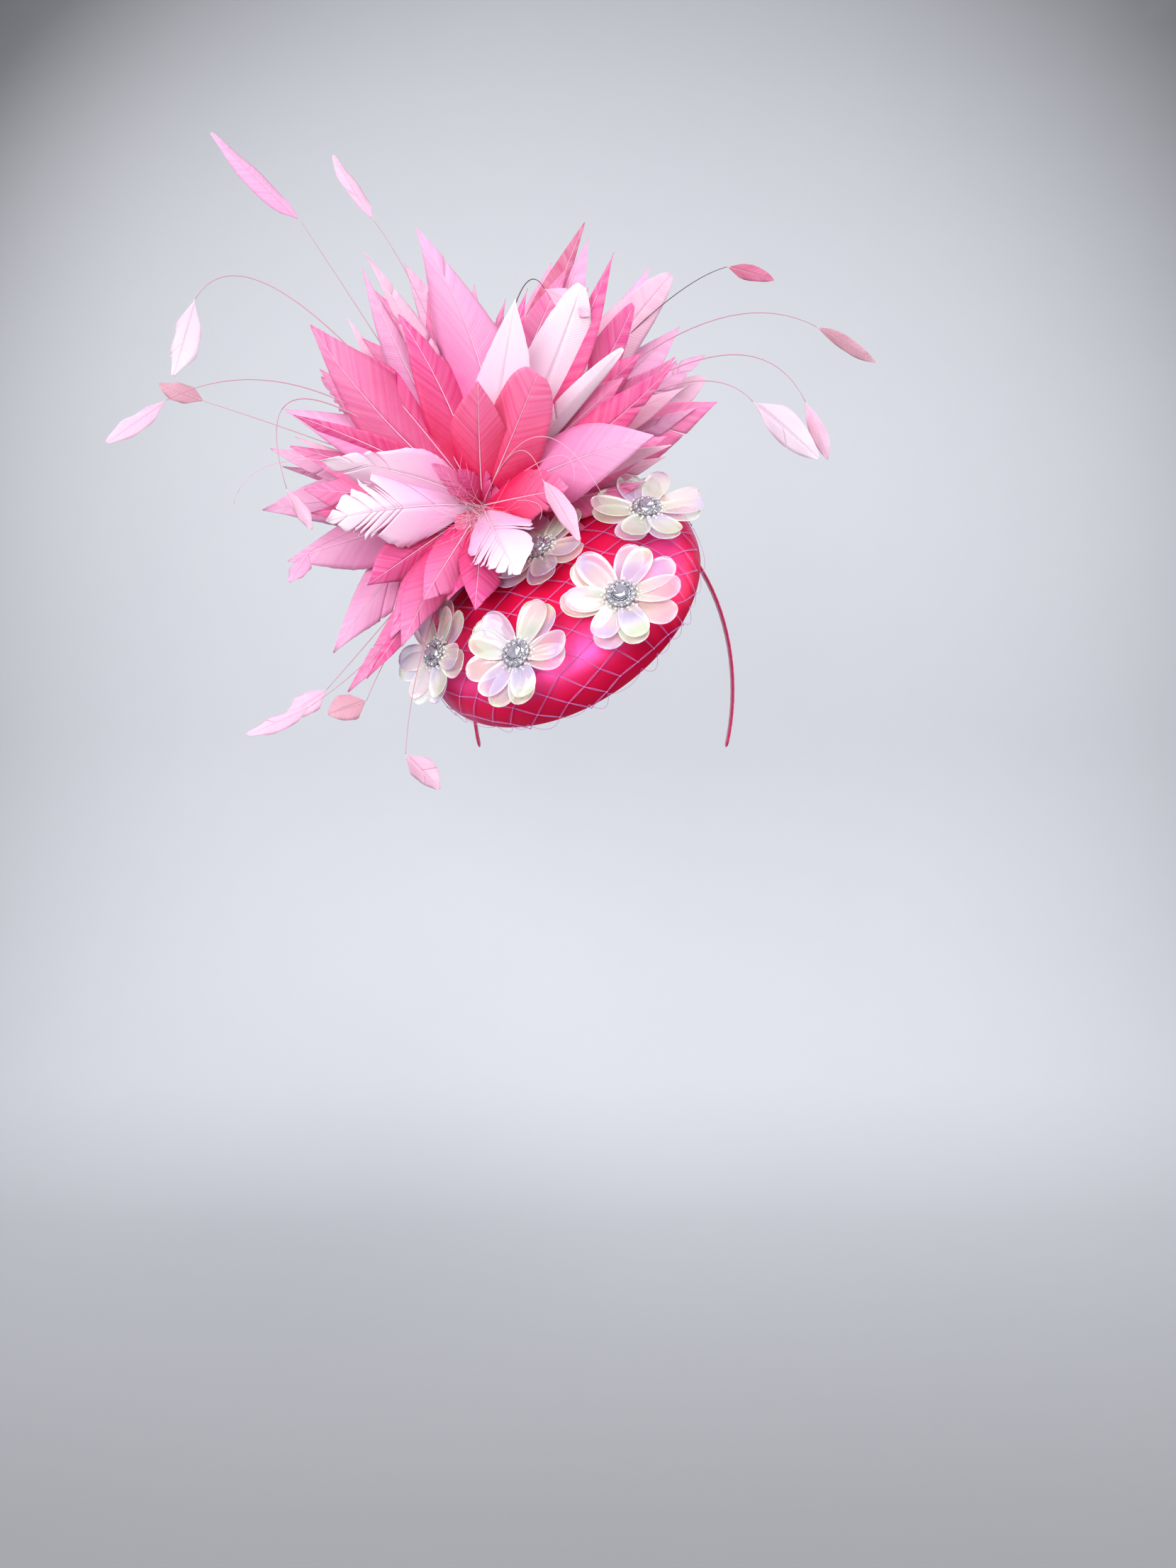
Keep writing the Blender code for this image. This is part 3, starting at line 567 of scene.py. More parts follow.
# %% Loops at the rim
knot_clocks = np.arctan2(knots[:, 1], knots[:, 0])
starts = np.sort(knot_clocks[np.hypot(knots[:, 0], knots[:, 1]) > reach - LOOP_KNOTS])
ends = np.append(starts[1:], starts[0] + math.tau)
share = np.linspace(0.0, 1.0, 9)[None, :]
clock = starts[:, None] * (1 - share) + ends[:, None] * share
hang = LOOP_HANG + LOOP_VARIES * np.sin(starts * 17.0)[:, None]
distance = reach - LOOP_FOOT + hang * np.sin(math.pi * share) ** 0.8
loop_flat = np.stack([distance * np.cos(clock), distance * np.sin(clock)], axis=-1)
loops = on_crown(loop_flat.reshape(-1, 2), NET_ABOVE).reshape(*loop_flat.shape[:2], 3)
pieces.append(tubes(loops, NET_THREAD))
settled_pieces("knotted_net", pieces, NET, "netting", "veil")

# %% [markdown]
# ## The headband
# The band doesn't show in the photograph, so it is finished plainly: a slim arch, wound in satin
# ribbon. Its section is a rounded flat, carried along the arch that the frame gives. The ribbon's
# turns are a low saw-tooth in the section's height, once every few millimetres.

# %% Band surface
band_low, band_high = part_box("headband")
BAND_WIDTH = band_high.y - band_low.y
BAND_THICKNESS = 0.0018
BAND_SWEEP = math.radians(108.0)
BAND_CLOSE = 0.004
LAP_HEIGHT, LAP_WIDTH = 0.00012, 0.0065
band_half = (band_high.x - band_low.x) / 2 - BAND_THICKNESS / 2
swept = 1 - math.cos(BAND_SWEEP)
band_rise = (band_high.z - band_low.z - BAND_THICKNESS * swept) / swept


def band_surface(steps=420, sides=20):
    """A flat rounded section carried along a half ellipse, with its ends drawn in to a rounded close."""
    angle = np.linspace(-BAND_SWEEP, BAND_SWEEP, steps)
    centre_rise = band_rise + BAND_THICKNESS / 2
    spine = np.stack([band_half * np.sin(angle), 0 * angle, centre_rise * np.cos(angle) - band_rise], axis=1)
    normal = np.stack([np.sin(angle) / band_half, 0 * angle, np.cos(angle) / centre_rise], axis=1)
    normal /= np.linalg.norm(normal, axis=1, keepdims=True)
    walked = np.concatenate([[0.0], np.cumsum(np.linalg.norm(np.diff(spine, axis=0), axis=1))])
    from_end = np.minimum(walked, walked[-1] - walked)
    closing = np.sqrt(np.clip(1.0 - (1.0 - np.clip(from_end / BAND_CLOSE, 0.0, 1.0)) ** 2, 0.0, 1.0))
    turn = np.linspace(0.0, math.tau, sides, endpoint=False)
    wide = np.sign(np.cos(turn)) * np.abs(np.cos(turn)) ** 0.45 * BAND_WIDTH / 2 * 0.98
    tall = np.sign(np.sin(turn)) * np.abs(np.sin(turn)) ** 0.6 * BAND_THICKNESS / 2
    lean = walked[:, None] + 0.35 * wide[None, :]
    lap = LAP_HEIGHT * (np.mod(lean / LAP_WIDTH, 1.0) - 0.5)
    points = (
        spine[:, None]
        + closing[:, None, None] * (tall * 0.94 + np.sign(tall) * lap)[..., None] * normal[:, None]
        + (0.15 + 0.85 * closing)[:, None, None] * wide[None, :, None] * np.array([0.0, 1.0, 0.0])
    )
    ends = closing < 1e-6
    points[ends] = spine[ends][:, None]
    uv = np.stack(np.broadcast_arrays(turn[None, :] / math.tau, lean / 0.10), axis=-1)
    return points.reshape(-1, 3), grid_faces(steps, sides, closed=True), {"uv": uv.reshape(-1, 2)}


RIBBON, tree, shader = new_finish(
    "pink_ribbon", Roughness=0.42, Metallic=0.2, Sheen_Weight=0.3, Specular_Tint=(1.0, 0.6, 0.85, 1.0)
)
threads = placed_group(tree, THREADS, UV=uv_of(tree), Lines=160.0, Bump=0.2)
ribbon_base = mixed(tree, threads.outputs["Streaks"], (0.42, 0.006, 0.07, 1.0), (0.66, 0.02, 0.14, 1.0))
fed(tree, shader, Base_Color=ribbon_base, Normal=threads.outputs["Normal"])
settled_pieces("ribbon_band", [band_surface()], RIBBON, "ribbon", "headband")

# %% [markdown]
# ## Feathers
# A goose feather is a quill with a vane on each side. The vane is made of barbs that leave the quill at
# a slant, so the surface is a function of two parameters: where a barb leaves the quill, and how far
# out along the barb. Barbs cling together in groups, and where two groups part there is a split. Making
# the vane group by group gives the slanted notches and ragged tips of the real feather for nothing.
#
# Each row of the table is one feather, as seen from in front of the wearer: the clock of its tip from
# straight up, its lean toward the viewer, its length and width as shares of the full feather's, how far
# its tip falls back and sways aside as shares of its length, its roll about its quill, its dye, how
# ragged it is, and how pointed, where 1 is a sharp tip and 0.5 a round one.

# %% Feather table
FEATHER_LENGTH = 0.150
FEATHER_WIDTH = 0.031
STEM_FOOT = (-0.0260, 0.0220)
STEM_ROOT_ABOVE = 0.0213
DYES = {
    "light": (0.81, 0.34, 0.58),
    "mid": (0.81, 0.15, 0.39),
    "deep": (0.80, 0.045, 0.29),
    "coral": (0.91, 0.10, 0.31),
    "pale": (0.92, 0.79, 0.87),
    "blush": (0.88, 0.48, 0.64),
    "lilac": (0.78, 0.34, 0.54),
    "plum": (0.56, 0.11, 0.28),
    "rose": (0.62, 0.08, 0.22),
    "dusty": (0.62, 0.26, 0.34),
    "mist": (0.78, 0.62, 0.72),
}
QUILL_TONE, DARK_TONE = (0.62, 0.32, 0.40), (0.08, 0.02, 0.03)
FEATHERS = (
    # clock, lean, length, width, fall, sway, roll, dye, ragged, point
    (20, 5, 0.78, 1.65, 0.05, -0.65, 10, "light", 0.1, 0.9),
    (-4, -20, 1.20, 0.95, 0.02, -0.25, -15, "lilac", 0.2, 1.0),
    (-8, -10, 0.86, 1.05, 0.04, -0.34, 12, "mid", 0.1, 1.0),
    (-24, -14, 0.93, 0.45, 0.00, -0.05, 20, "plum", 0.0, 1.0),
    (-20, 8, 0.67, 0.85, 0.04, -0.30, -10, "mid", 0.1, 1.0),
    (-57, 15, 0.78, 1.30, 0.06, 0.20, -12, "mid", 0.1, 1.0),
    (-50, 10, 0.70, 1.00, 0.05, -0.28, 12, "light", 0.1, 1.0),
    (-49, -20, 0.90, 0.80, 0.00, 0.00, 0, "plum", 0.9, 0.8),
    (-73, -10, 0.83, 0.70, 0.00, 0.00, 15, "lilac", 0.3, 1.0),
    (-75, -18, 0.84, 0.40, 0.00, 0.00, 0, "plum", 0.3, 1.0),
    (-73, 8, 0.68, 0.80, 0.05, 0.00, 20, "mid", 0.2, 1.0),
    (-84, 0, 0.78, 1.05, 0.05, -0.12, -10, "light", 0.3, 1.0),
    (-67, 38, 0.55, 1.00, 0.10, -0.25, -15, "pale", 0.8, 0.9),
    (-97, 38, 0.57, 1.25, 0.10, -0.10, 8, "pale", 1.0, 0.9),
    (-103, 5, 0.70, 1.10, 0.06, -0.05, 10, "light", 0.2, 1.0),
    (-110, 0, 0.54, 0.80, 0.05, 0.00, -15, "deep", 0.3, 1.0),
    (-102, -30, 0.67, 0.60, 0.00, 0.00, 0, "plum", 0.3, 1.0),
    (-118, 0, 0.70, 1.15, 0.04, -0.30, 12, "light", 0.2, 1.0),
    (-149, 24, 0.62, 0.85, 0.00, -0.10, 4, "mid", 0.3, 1.0),
    (-157, 38, 0.52, 0.70, 0.00, 0.00, 0, "mid", 0.4, 1.0),
    (-147, 8, 0.80, 0.50, 0.02, 0.04, 20, "mid", 0.2, 1.0),
    (-152, 19, 0.76, 0.45, 0.00, 0.03, -20, "deep", 0.2, 1.0),
    (-149, 24, 0.60, 0.85, 0.06, 0.00, 10, "mid", 0.5, 1.0),
    (-130, 22, 0.50, 0.85, 0.08, 0.00, -12, "deep", 0.5, 1.0),
    (-167, 32, 0.44, 0.75, 0.00, 0.02, 15, "deep", 0.2, 1.0),
    (178, 36, 0.50, 0.75, 0.00, 0.02, -10, "deep", 0.3, 1.0),
    (158, 52, 0.52, 1.15, 0.06, -0.04, 10, "pale", 0.9, 0.8),
    (2, 46, 0.44, 1.00, 0.06, 0.02, 8, "coral", 0.0, 0.9),
    (34, 42, 0.51, 1.15, 0.06, -0.05, -12, "coral", 0.1, 0.3),
    (98, 55, 0.44, 0.90, 0.15, 0.00, 18, "coral", 0.6, 0.8),
    (68, 34, 0.68, 1.25, 0.08, 0.12, -10, "light", 0.1, 1.0),
    (59, 6, 0.88, 1.40, 0.06, 0.15, 12, "mid", 0.1, 1.0),
    (53, -4, 0.97, 0.95, 0.04, 0.02, -12, "light", 0.8, 0.7),
    (37, -10, 1.15, 0.95, 0.03, 0.00, 8, "blush", 0.2, 0.5),
    (40, -12, 1.18, 0.95, 0.04, -0.15, -10, "light", 0.1, 1.0),
    (56, 7, 0.80, 0.85, 0.05, -0.30, 15, "deep", 0.0, 0.6),
    (16, -8, 1.15, 0.60, 0.02, 0.05, 20, "rose", 0.0, 1.0),
    (20, -10, 1.10, 0.80, 0.00, 0.00, -10, "light", 0.1, 1.0),
    (14, -12, 1.00, 0.80, 0.02, 0.00, 5, "light", 0.1, 1.0),
    (26, 4, 0.83, 1.05, 0.04, 0.00, -15, "mid", 0.1, 1.0),
    (37, 20, 0.77, 1.20, 0.06, -0.15, 6, "pale", 0.3, 0.5),
    (13, 32, 0.67, 0.95, 0.06, 0.00, -8, "pale", 0.1, 1.0),
    (45, 22, 0.70, 0.40, 0.04, 0.05, 25, "pale", 0.0, 0.5),
    (48, 12, 0.74, 1.00, 0.06, 0.02, 10, "deep", 0.1, 1.0),
    (43, -18, 1.12, 0.95, 0.03, 0.00, 0, "light", 0.2, 1.0),
    (57, -12, 0.97, 1.00, 0.00, 0.00, -5, "blush", 0.3, 0.6),
    (78, 21, 0.70, 0.50, 0.00, 0.00, 10, "blush", 0.2, 1.0),
    (73, 17, 0.68, 0.75, 0.05, 0.00, -5, "mid", 0.3, 1.0),
    (52, 16, 0.64, 0.95, 0.06, 0.00, 12, "mid", 0.1, 1.0),
    (-38, 14, 0.66, 0.95, 0.05, -0.05, -10, "deep", 0.1, 1.0),
    (-88, 20, 0.60, 0.95, 0.06, 0.00, 12, "mid", 0.2, 1.0),
    (-12, 12, 0.66, 1.05, 0.05, -0.20, 15, "deep", 0.1, 1.0),
    (-10, -50, 0.88, 1.05, -0.04, 0.00, 10, "mid", 0.3, 1.0),
    (22, -42, 0.90, 1.05, -0.04, 0.00, -10, "light", 0.3, 1.0),
    (50, -27, 0.84, 0.90, -0.04, 0.00, 12, "mid", 0.3, 1.0),
    (-42, -52, 0.84, 1.05, -0.04, 0.00, -12, "lilac", 0.3, 1.0),
    (-78, -46, 0.78, 1.00, -0.04, 0.00, 10, "mid", 0.3, 1.0),
    (-5, -62, 0.80, 1.00, -0.06, 0.00, 0, "light", 0.3, 1.0),
    (-60, -60, 0.74, 1.00, -0.06, 0.00, 15, "mid", 0.3, 1.0),
)


def heading(clock, lean):
    """The direction of a clock angle as seen from in front of the wearer, leaning toward that viewer."""
    turn, tip = math.radians(clock), math.radians(lean)
    return np.array([math.cos(tip) * math.sin(turn), -math.sin(tip), math.cos(tip) * math.cos(turn)])


def feather_axes(along, roll):
    """Side, along and face directions, where the face turns to the viewer and then rolls on the quill."""
    face = np.array([0.0, -1.0, 0.0]) if abs(along[1]) < 0.94 else np.array([0.0, 0.0, 1.0])
    face = face - face.dot(along) * along
    face /= np.linalg.norm(face)
    side = np.cross(along, face)
    turn = math.radians(roll)
    return np.stack([
        math.cos(turn) * side - math.sin(turn) * face,
        along,
        math.cos(turn) * face + math.sin(turn) * side,
    ])


stem_radius = math.hypot(*STEM_FOOT) / CROWN_RADIUS
stem_height = CROWN_RISE * (1.0 - stem_radius**CROWN_SQUARENESS) ** (1.0 / CROWN_SQUARENESS)
STEM_ROOT = crown_world(np.array([STEM_FOOT[0], STEM_FOOT[1], stem_height + STEM_ROOT_ABOVE]))
print("feathers leave", STEM_ROOT.round(4))


# %% Vane surface
EDGE_FOOT, EDGE_FALL, EDGE_POINT = 0.22, 1.65, 1.12
VANE_PEAKS, VANE_END, VANE_CAMBER = (0.42, 0.60), 0.992, 0.15
VANE_RIPPLE, SHAFT_LIFT = 0.0005, 0.0001


def vane_edge(arrive, peak, point):
    """Half width as a share: a sine rise up to the peak, then a power curve that falls to the tip."""
    rise = EDGE_FOOT + (1.0 - EDGE_FOOT) * np.sin(0.5 * math.pi * np.clip(arrive / peak, 0.0, 1.0))
    fall = 1.0 - np.clip((arrive - peak) / (1.0 - peak), 0.0, 1.0) ** EDGE_FALL
    return rise * fall ** (EDGE_POINT * point)


def quill_line(s, length, fall, sway):
    """The quill in its own axes: straight at first, then bent back and aside by the square of its run."""
    return np.stack([sway * length * s**2, length * s, -fall * length * s**2], axis=-1)


def barb_groups(rng, ragged, barbs):
    """Splits a run of barbs into clinging groups, as a list of (first, last) barb numbers."""
    wanted = rng.poisson(8.0 * max(ragged - 0.1, 0.0) ** 1.3 + 0.25)
    cuts = np.unique(rng.integers(barbs // 4, barbs - 4, wanted))
    edges = np.concatenate([[0], cuts, [barbs]])
    return list(zip(edges[:-1], edges[1:]))


def feather_vane(rng, row, axes, root, dye, start=0.06, barbs=44, columns=6):
    """Both vanes of one feather as a piece: for each clinging group, a grid of barbs by steps outward.

    The row gives length, width, fall, sway, ragged and point. A barb runs forward half as far again as
    it runs out. The ends of a group draw together, which opens a narrow notch between two groups. The
    more ragged a feather is, the more its barbs differ in length, height and gap, and the rounder its
    groups end. Each vane bends down from the quill as the square of its reach, tilts about the quill, so
    the two halves take the light differently, and twists slowly toward the tip.
    """
    length, width, fall, sway, ragged, point = row
    pieces = []
    outward = np.linspace(0.0, 1.0, columns + 1)[None, :]
    peaks = rng.permutation(VANE_PEAKS) + rng.uniform(-0.06, 0.06)
    twist = rng.uniform(-0.30, 0.30)
    forward = min(1.5 * width / 2 / length, 0.30)
    for side, peak in ((-1.0, peaks[0]), (1.0, peaks[1])):
        narrower, tilt = rng.uniform(0.88, 1.06), rng.uniform(-0.10, 0.32)
        for first, last in barb_groups(rng, ragged, barbs):
            barb = np.arange(first, last + 1)[:, None] / barbs
            middle, spread = (first + last) / 2 / barbs, (last - first) / 2 / barbs
            leave = start + (VANE_END - start) * barb
            arrive = np.minimum(leave + forward * (1.0 - barb) ** 0.7, 0.997)
            notch = (0.003 + 0.014 * ragged) * rng.uniform(0.4, 1.6)
            drawn = notch * (middle - barb) / spread * outward**2.5
            s = leave + (arrive - leave) * outward + drawn * np.minimum(1.0, 4.0 * (1.0 - barb))
            frayed = 1.0 + rng.normal(0.0, 0.005 + 0.015 * ragged, (last - first + 1, 1)) * outward**4
            grown = 1.0 + rng.normal(-0.02 * ragged, 0.01 + 0.07 * ragged) * outward**3
            grown = grown - 0.16 * ragged * ((barb - middle) / spread) ** 2 * outward**2
            reach = vane_edge(arrive, peak, point) * width / 2 * narrower * frayed * grown * outward
            lift = rng.normal(0.0, 0.0001 + 0.0005 * ragged) * outward**2
            tilted = tilt * reach * np.sin(math.pi * np.minimum(s, 1.0)) ** 0.5
            camber = -VANE_CAMBER * reach**2 / (width / 2) - tilted
            ripple = VANE_RIPPLE * np.sin(4.0 * math.pi * barb + 2.0 * side) * outward**2
            roll, up = twist * s, lift + camber + ripple
            across = side * (reach * np.cos(roll) - up * np.sin(roll) * side)
            raised = side * reach * np.sin(roll) + up * np.cos(roll)
            local = quill_line(s, length, fall, sway) + np.stack([across, 0 * reach, raised], axis=-1)
            faces = grid_faces(last - first + 1, columns + 1)
            if side > 0:
                faces = faces[:, ::-1]
            uv = np.stack([np.broadcast_to(side * outward, s.shape), np.broadcast_to(barb, s.shape)], axis=-1)
            pieces.append(((root + local @ axes).reshape(-1, 3), faces, {"uv": uv.reshape(-1, 2)}))
    points, faces, values = joined_pieces(pieces)
    values["dye"] = np.broadcast_to(dye, (len(points), 3)).copy()
    # The root share drives the finish's deepening toward the root: partly the dye's own, partly painted shade
    # where the feathers crowd at the stem
    values["root"] = 1.0 - values["uv"][:, 1]
    return points, faces, values


def quill_tube(length, fall, sway, axes, root, dye, thick=0.0009, thin=0.0002, steps=16):
    """The shaft along the vane's middle, tapering to its tip and raised a little on the face."""
    s = np.linspace(0.0, 0.975, steps)
    local = quill_line(s, length, fall, sway) + np.array([0.0, 0.0, SHAFT_LIFT])
    tone = 0.3 * np.array(dye) + 0.7 * np.array(DYES["pale"])
    return tubes((root + local @ axes)[None], np.linspace(thick, thin, steps) / 2, 6, dye=tone[None])


# %% Feather finish
def feather_finish():
    """Barb lines and streaks over the dye, which is deeper along some barbs and deeper toward the root,
    partly as the dye's own colour and partly as painted shade where the feathers crowd at the stem.
    """
    made, tree, shader = new_finish(
        "dyed_feather",
        Roughness=0.5,
        Sheen_Weight=0.08,
        Sheen_Roughness=0.4,
        Sheen_Tint=(1.0, 0.75, 0.86, 1.0),
        Specular_IOR_Level=0.35,
        Subsurface_Weight=0.20,
        Subsurface_Radius=(0.004, 0.002, 0.002),
        Subsurface_Scale=1.0,
    )
    threads = placed_group(tree, THREADS, UV=uv_of(tree), Lines=85.0, Bump=0.14)
    mottle = placed_group(tree, MOTTLE, Scale=30.0).outputs["Mask"]
    dyed = attribute(tree, "dye", "Color")
    deeper = mixed(tree, 1.0, dyed, (1.05, 0.70, 0.92, 1.0), "MULTIPLY")
    deeper = mixed(tree, 1.0, deeper, dyed, "MULTIPLY")
    paler = mixed(tree, 0.34, dyed, (0.95, 0.80, 0.90, 1.0))
    # Deeper toward the root: partly the dye's own colour, partly painted shade where the feathers crowd at
    # the stem
    root_dye_and_shade = maths(tree, "MULTIPLY", maths(tree, "POWER", attribute(tree, "root"), 1.4), 1.3)
    depth = maths(tree, "MULTIPLY", root_dye_and_shade, maths(tree, "ADD", mottle, 0.45))
    depth = maths(tree, "MINIMUM", depth, 1.0)
    streak = maths(tree, "MULTIPLY_ADD", threads.outputs["Streaks"], 2.2, -0.75)
    streak = maths(tree, "MAXIMUM", maths(tree, "MINIMUM", streak, 1.0), 0.0)
    base = mixed(tree, maths(tree, "MULTIPLY", streak, 0.75), dyed, paler)
    base = mixed(tree, depth, base, deeper)
    fine = maths(tree, "MULTIPLY", threads.outputs["Lines"], maths(tree, "MULTIPLY_ADD", streak, -0.11, 0.15))
    base = mixed(tree, fine, base, deeper)
    fed(tree, shader, Base_Color=base, Normal=threads.outputs["Normal"])
    return made


FEATHER = feather_finish()
SHAFT, tree, shader = new_finish("feather_shaft", Roughness=0.4, Specular_IOR_Level=0.5)
mottle = placed_group(tree, MOTTLE, Scale=90.0).outputs["Mask"]
shaft_dye = attribute(tree, "dye", "Color")
shaft_deep = mixed(tree, 1.0, shaft_dye, (0.90, 0.66, 0.76, 1.0), "MULTIPLY")
fed(tree, shader, Base_Color=mixed(tree, mottle, shaft_deep, shaft_dye))

# %% Make every goose feather
VANE_THICKNESS = 0.00016
CURLED_COUNT, CURLED_DYES = 9, ("deep", "coral", "deep", "mid")
# Least and most length, width, fall and sway of a short curled feather, and its ragged and point
CURLED_SPANS = ((0.018, 0.034), (0.012, 0.018), (0.1, 0.5), (-0.5, 0.5))
CURLED_ENDS = (0.5, 0.7)
FEATHER_SEED = 7
rng = np.random.default_rng(FEATHER_SEED)
vanes, shafts = [], []
for clock, lean, long, wide, fall, sway, roll, dye, ragged, point in FEATHERS:
    axes = feather_axes(heading(clock, lean), roll)
    length = long * FEATHER_LENGTH
    tone = np.clip(np.array(DYES[dye]) * rng.uniform(0.92, 1.06), 0.0, 1.0)
    row = (length, wide * FEATHER_WIDTH, fall, sway, ragged, point)
    vanes.append(feather_vane(rng, row, axes, STEM_ROOT, tone))
    shafts.append(quill_tube(length, fall, sway, axes, STEM_ROOT, tone))
# Short curled feathers close the middle of the flower
for k in range(CURLED_COUNT):
    clock, lean = 40.0 * k + rng.uniform(-14, 14), rng.uniform(30, 72)
    axes = feather_axes(heading(clock, lean), rng.uniform(-40, 40))
    tone = np.array(DYES[CURLED_DYES[k % 4]]) * rng.uniform(0.80, 1.0)
    row = [rng.uniform(*span) for span in CURLED_SPANS]
    vanes.append(feather_vane(rng, (*row, *CURLED_ENDS), axes, STEM_ROOT, tone, start=0.02, barbs=26))
settled_pieces("goose_feathers", vanes, FEATHER, "feather", "feather_plume", thickness=VANE_THICKNESS)

# %% Narrow feathers and down
NARROW_COUNT, NARROW_DYES = 46, ("mid", "light", "deep", "mid", "blush")
NARROW_FIRST, NARROW_TURN, NARROW_LONGEST = -172.0, 300.0, 10.0
# Least and most width as a share, fall and sway of a narrow feather
NARROW_SPANS = ((0.45, 0.85), (0.0, 0.08), (-0.22, 0.22))
NARROW_POINT = 1.1
fillers = []
for k in range(NARROW_COUNT):
    clock = NARROW_FIRST + NARROW_TURN * (k + rng.uniform(0.0, 1.0)) / NARROW_COUNT
    lean = rng.uniform(-22, 20)
    far = 0.60 + 0.24 * math.cos(math.radians(clock - NARROW_LONGEST)) + rng.uniform(-0.10, 0.10)
    axes = feather_axes(heading(clock, lean), rng.uniform(-25, 25))
    wide, fall, sway = (rng.uniform(*span) for span in NARROW_SPANS)
    tone = np.array(DYES[NARROW_DYES[k % 5]]) * rng.uniform(0.88, 1.02)
    length = far * FEATHER_LENGTH
    row = (length, wide * FEATHER_WIDTH, fall, sway, rng.uniform(0.0, 0.5), NARROW_POINT)
    fillers.append(feather_vane(rng, row, axes, STEM_ROOT, tone, barbs=34, columns=5))
    shafts.append(quill_tube(length, fall, sway, axes, STEM_ROOT, tone))
settled_pieces("narrow_feathers", fillers, FEATHER, "feather", thickness=VANE_THICKNESS)
settled_pieces("feather_shafts", shafts, SHAFT, "feather")


def down_strands(rng, count=190, steps=7):
    """Loose barbs from the quills' bare feet: thin threads that leave the stem and curl as they go."""
    paths = []
    for _ in range(count):
        start = STEM_ROOT + rng.uniform(0.004, 0.012) * heading(rng.uniform(120, 290), rng.uniform(10, 60))
        way = heading(rng.uniform(110, 300), rng.uniform(10, 65)) * rng.uniform(0.014, 0.036)
        curl = np.cross(way, rng.normal(0.0, 1.0, 3)) * rng.uniform(0.2, 0.7)
        share = np.linspace(0.0, 1.0, steps)[:, None]
        paths.append(start + way * share + curl * share**2)
    tones = np.tile(DYES["pale"], (count, 1))
    return tubes(np.array(paths), np.linspace(0.00011, 0.00003, steps), 3, dye=tones)


settled_pieces("down", [down_strands(rng)], SHAFT, "feather")

# %% [markdown]
# ## Stripped quills
# A cock's tail feather, stripped of its vane up to the last few centimetres, waves about on a thin
# springy quill. The quill is a bow from the stem to the leaf's foot, drawn through one corner point, and
# the leaf carries on from there and bends down under its own weight.

# %% Quill table
QUILL_LENGTH = 0.200
LEAF_WIDTH = 0.0120
QUILLS = (
    # clock, corner, foot clock, reach, lean, leaf clock, leaf length, leaf width, dye
    (-31, 0.52, -32, 1.04, -14, -45, 0.41, 1.15, "light"),
    (-12, 0.60, -21, 1.00, -18, -32, 0.26, 0.95, "blush"),
    (-37, 0.94, -55, 0.88, 4, -164, 0.20, 1.35, "mist"),
    (-46, 0.60, -74, 0.80, 12, -128, 0.18, 1.00, "blush"),
    (-65, 0.40, -68, 0.83, -8, -69, 0.14, 1.00, "dusty"),
    (-52, 0.78, -88, 0.49, 12, 147, 0.12, 0.70, "blush"),
    (-96, 0.25, -109, 0.46, 16, -150, 0.09, 0.90, "light"),
    (35, 0.79, 43, 0.99, -12, 100, 0.14, 0.80, "rose"),
    (40, 0.86, 61, 1.01, -4, 117, 0.185, 0.65, "dusty"),
    (50, 0.86, 75, 0.85, 10, 158, 0.15, 0.70, "blush"),
    (54, 0.67, 74, 0.73, 18, 131, 0.21, 1.25, "mist"),
    (8, 0.65, 19, 0.54, 16, 121, 0.13, 0.95, "blush"),
    (-140, 0.35, -139, 0.63, -2, -125, 0.13, 1.10, "blush"),
    (-153, 0.40, -141, 0.68, 8, -116, 0.18, 0.90, "blush"),
    (-146, 0.35, -152, 0.60, 14, -111, 0.10, 1.20, "dusty"),
    (-154, 0.40, -165, 0.69, 14, 134, 0.12, 1.20, "blush"),
    (35, 0.33, 86, 0.27, 52, 150, 0.20, 0.90, "blush"),
)
# Quills that lost their leaf, by the first five numbers of such a row
BARE = (
    (62, 0.42, 92, 0.34, 45),
    (30, 0.40, 100, 0.42, 40),
    (95, 0.30, 118, 0.28, 50),
    (-70, 0.60, -92, 0.62, 10),
)
# Rows of the table whose quill is nearly black
DARK_QUILLS = (7, 11)
# Fall, sway, ragged and point of every leaf, and how much its root deepens
LEAF_SHAPE, LEAF_ROOT = (0.05, 0.04, 0.1, 0.7), 0.35
LEAF_THICKNESS = 0.00014


def bowed_quill(clock, corner, foot_clock, reach_share, lean, dye, thick=0.00085, thin=0.00032):
    """Where a quill's foot is, and the tube of its bow from the stem through one corner point."""
    bow = STEM_ROOT + corner * QUILL_LENGTH * heading(clock, lean)
    foot = STEM_ROOT + reach_share * QUILL_LENGTH * heading(foot_clock, lean)
    share = np.linspace(0.0, 1.0, 26)[:, None]
    path = STEM_ROOT * (1 - share) ** 2 + 2 * bow * share * (1 - share) + foot * share**2
    return foot, tubes(path[None], np.linspace(thick, thin, 26) / 2, 6, dye=np.array(dye)[None])


# %% Make the stripped quills
leaves, wires = [], []
for number, (clock, corner, foot_clock, reach_share, lean, leaf_clock, long, wide, dye) in enumerate(QUILLS):
    tone = DARK_TONE if number in DARK_QUILLS else QUILL_TONE
    foot, wire = bowed_quill(clock, corner, foot_clock, reach_share, lean, tone)
    wires.append(wire)
    axes = feather_axes(heading(leaf_clock, lean / 2), 20.0)
    length = long * QUILL_LENGTH
    tone = np.clip(np.array(DYES[dye]) * rng.uniform(0.92, 1.05), 0.0, 1.0)
    row = (length, wide * LEAF_WIDTH, *LEAF_SHAPE)
    leaf = feather_vane(rng, row, axes, foot, tone, start=0.02, barbs=26, columns=4)
    leaf[2]["root"] *= LEAF_ROOT
    leaves.append(leaf)
    wires.append(quill_tube(length, *LEAF_SHAPE[:2], axes, foot, tone, 0.00035, 0.00012, 12))
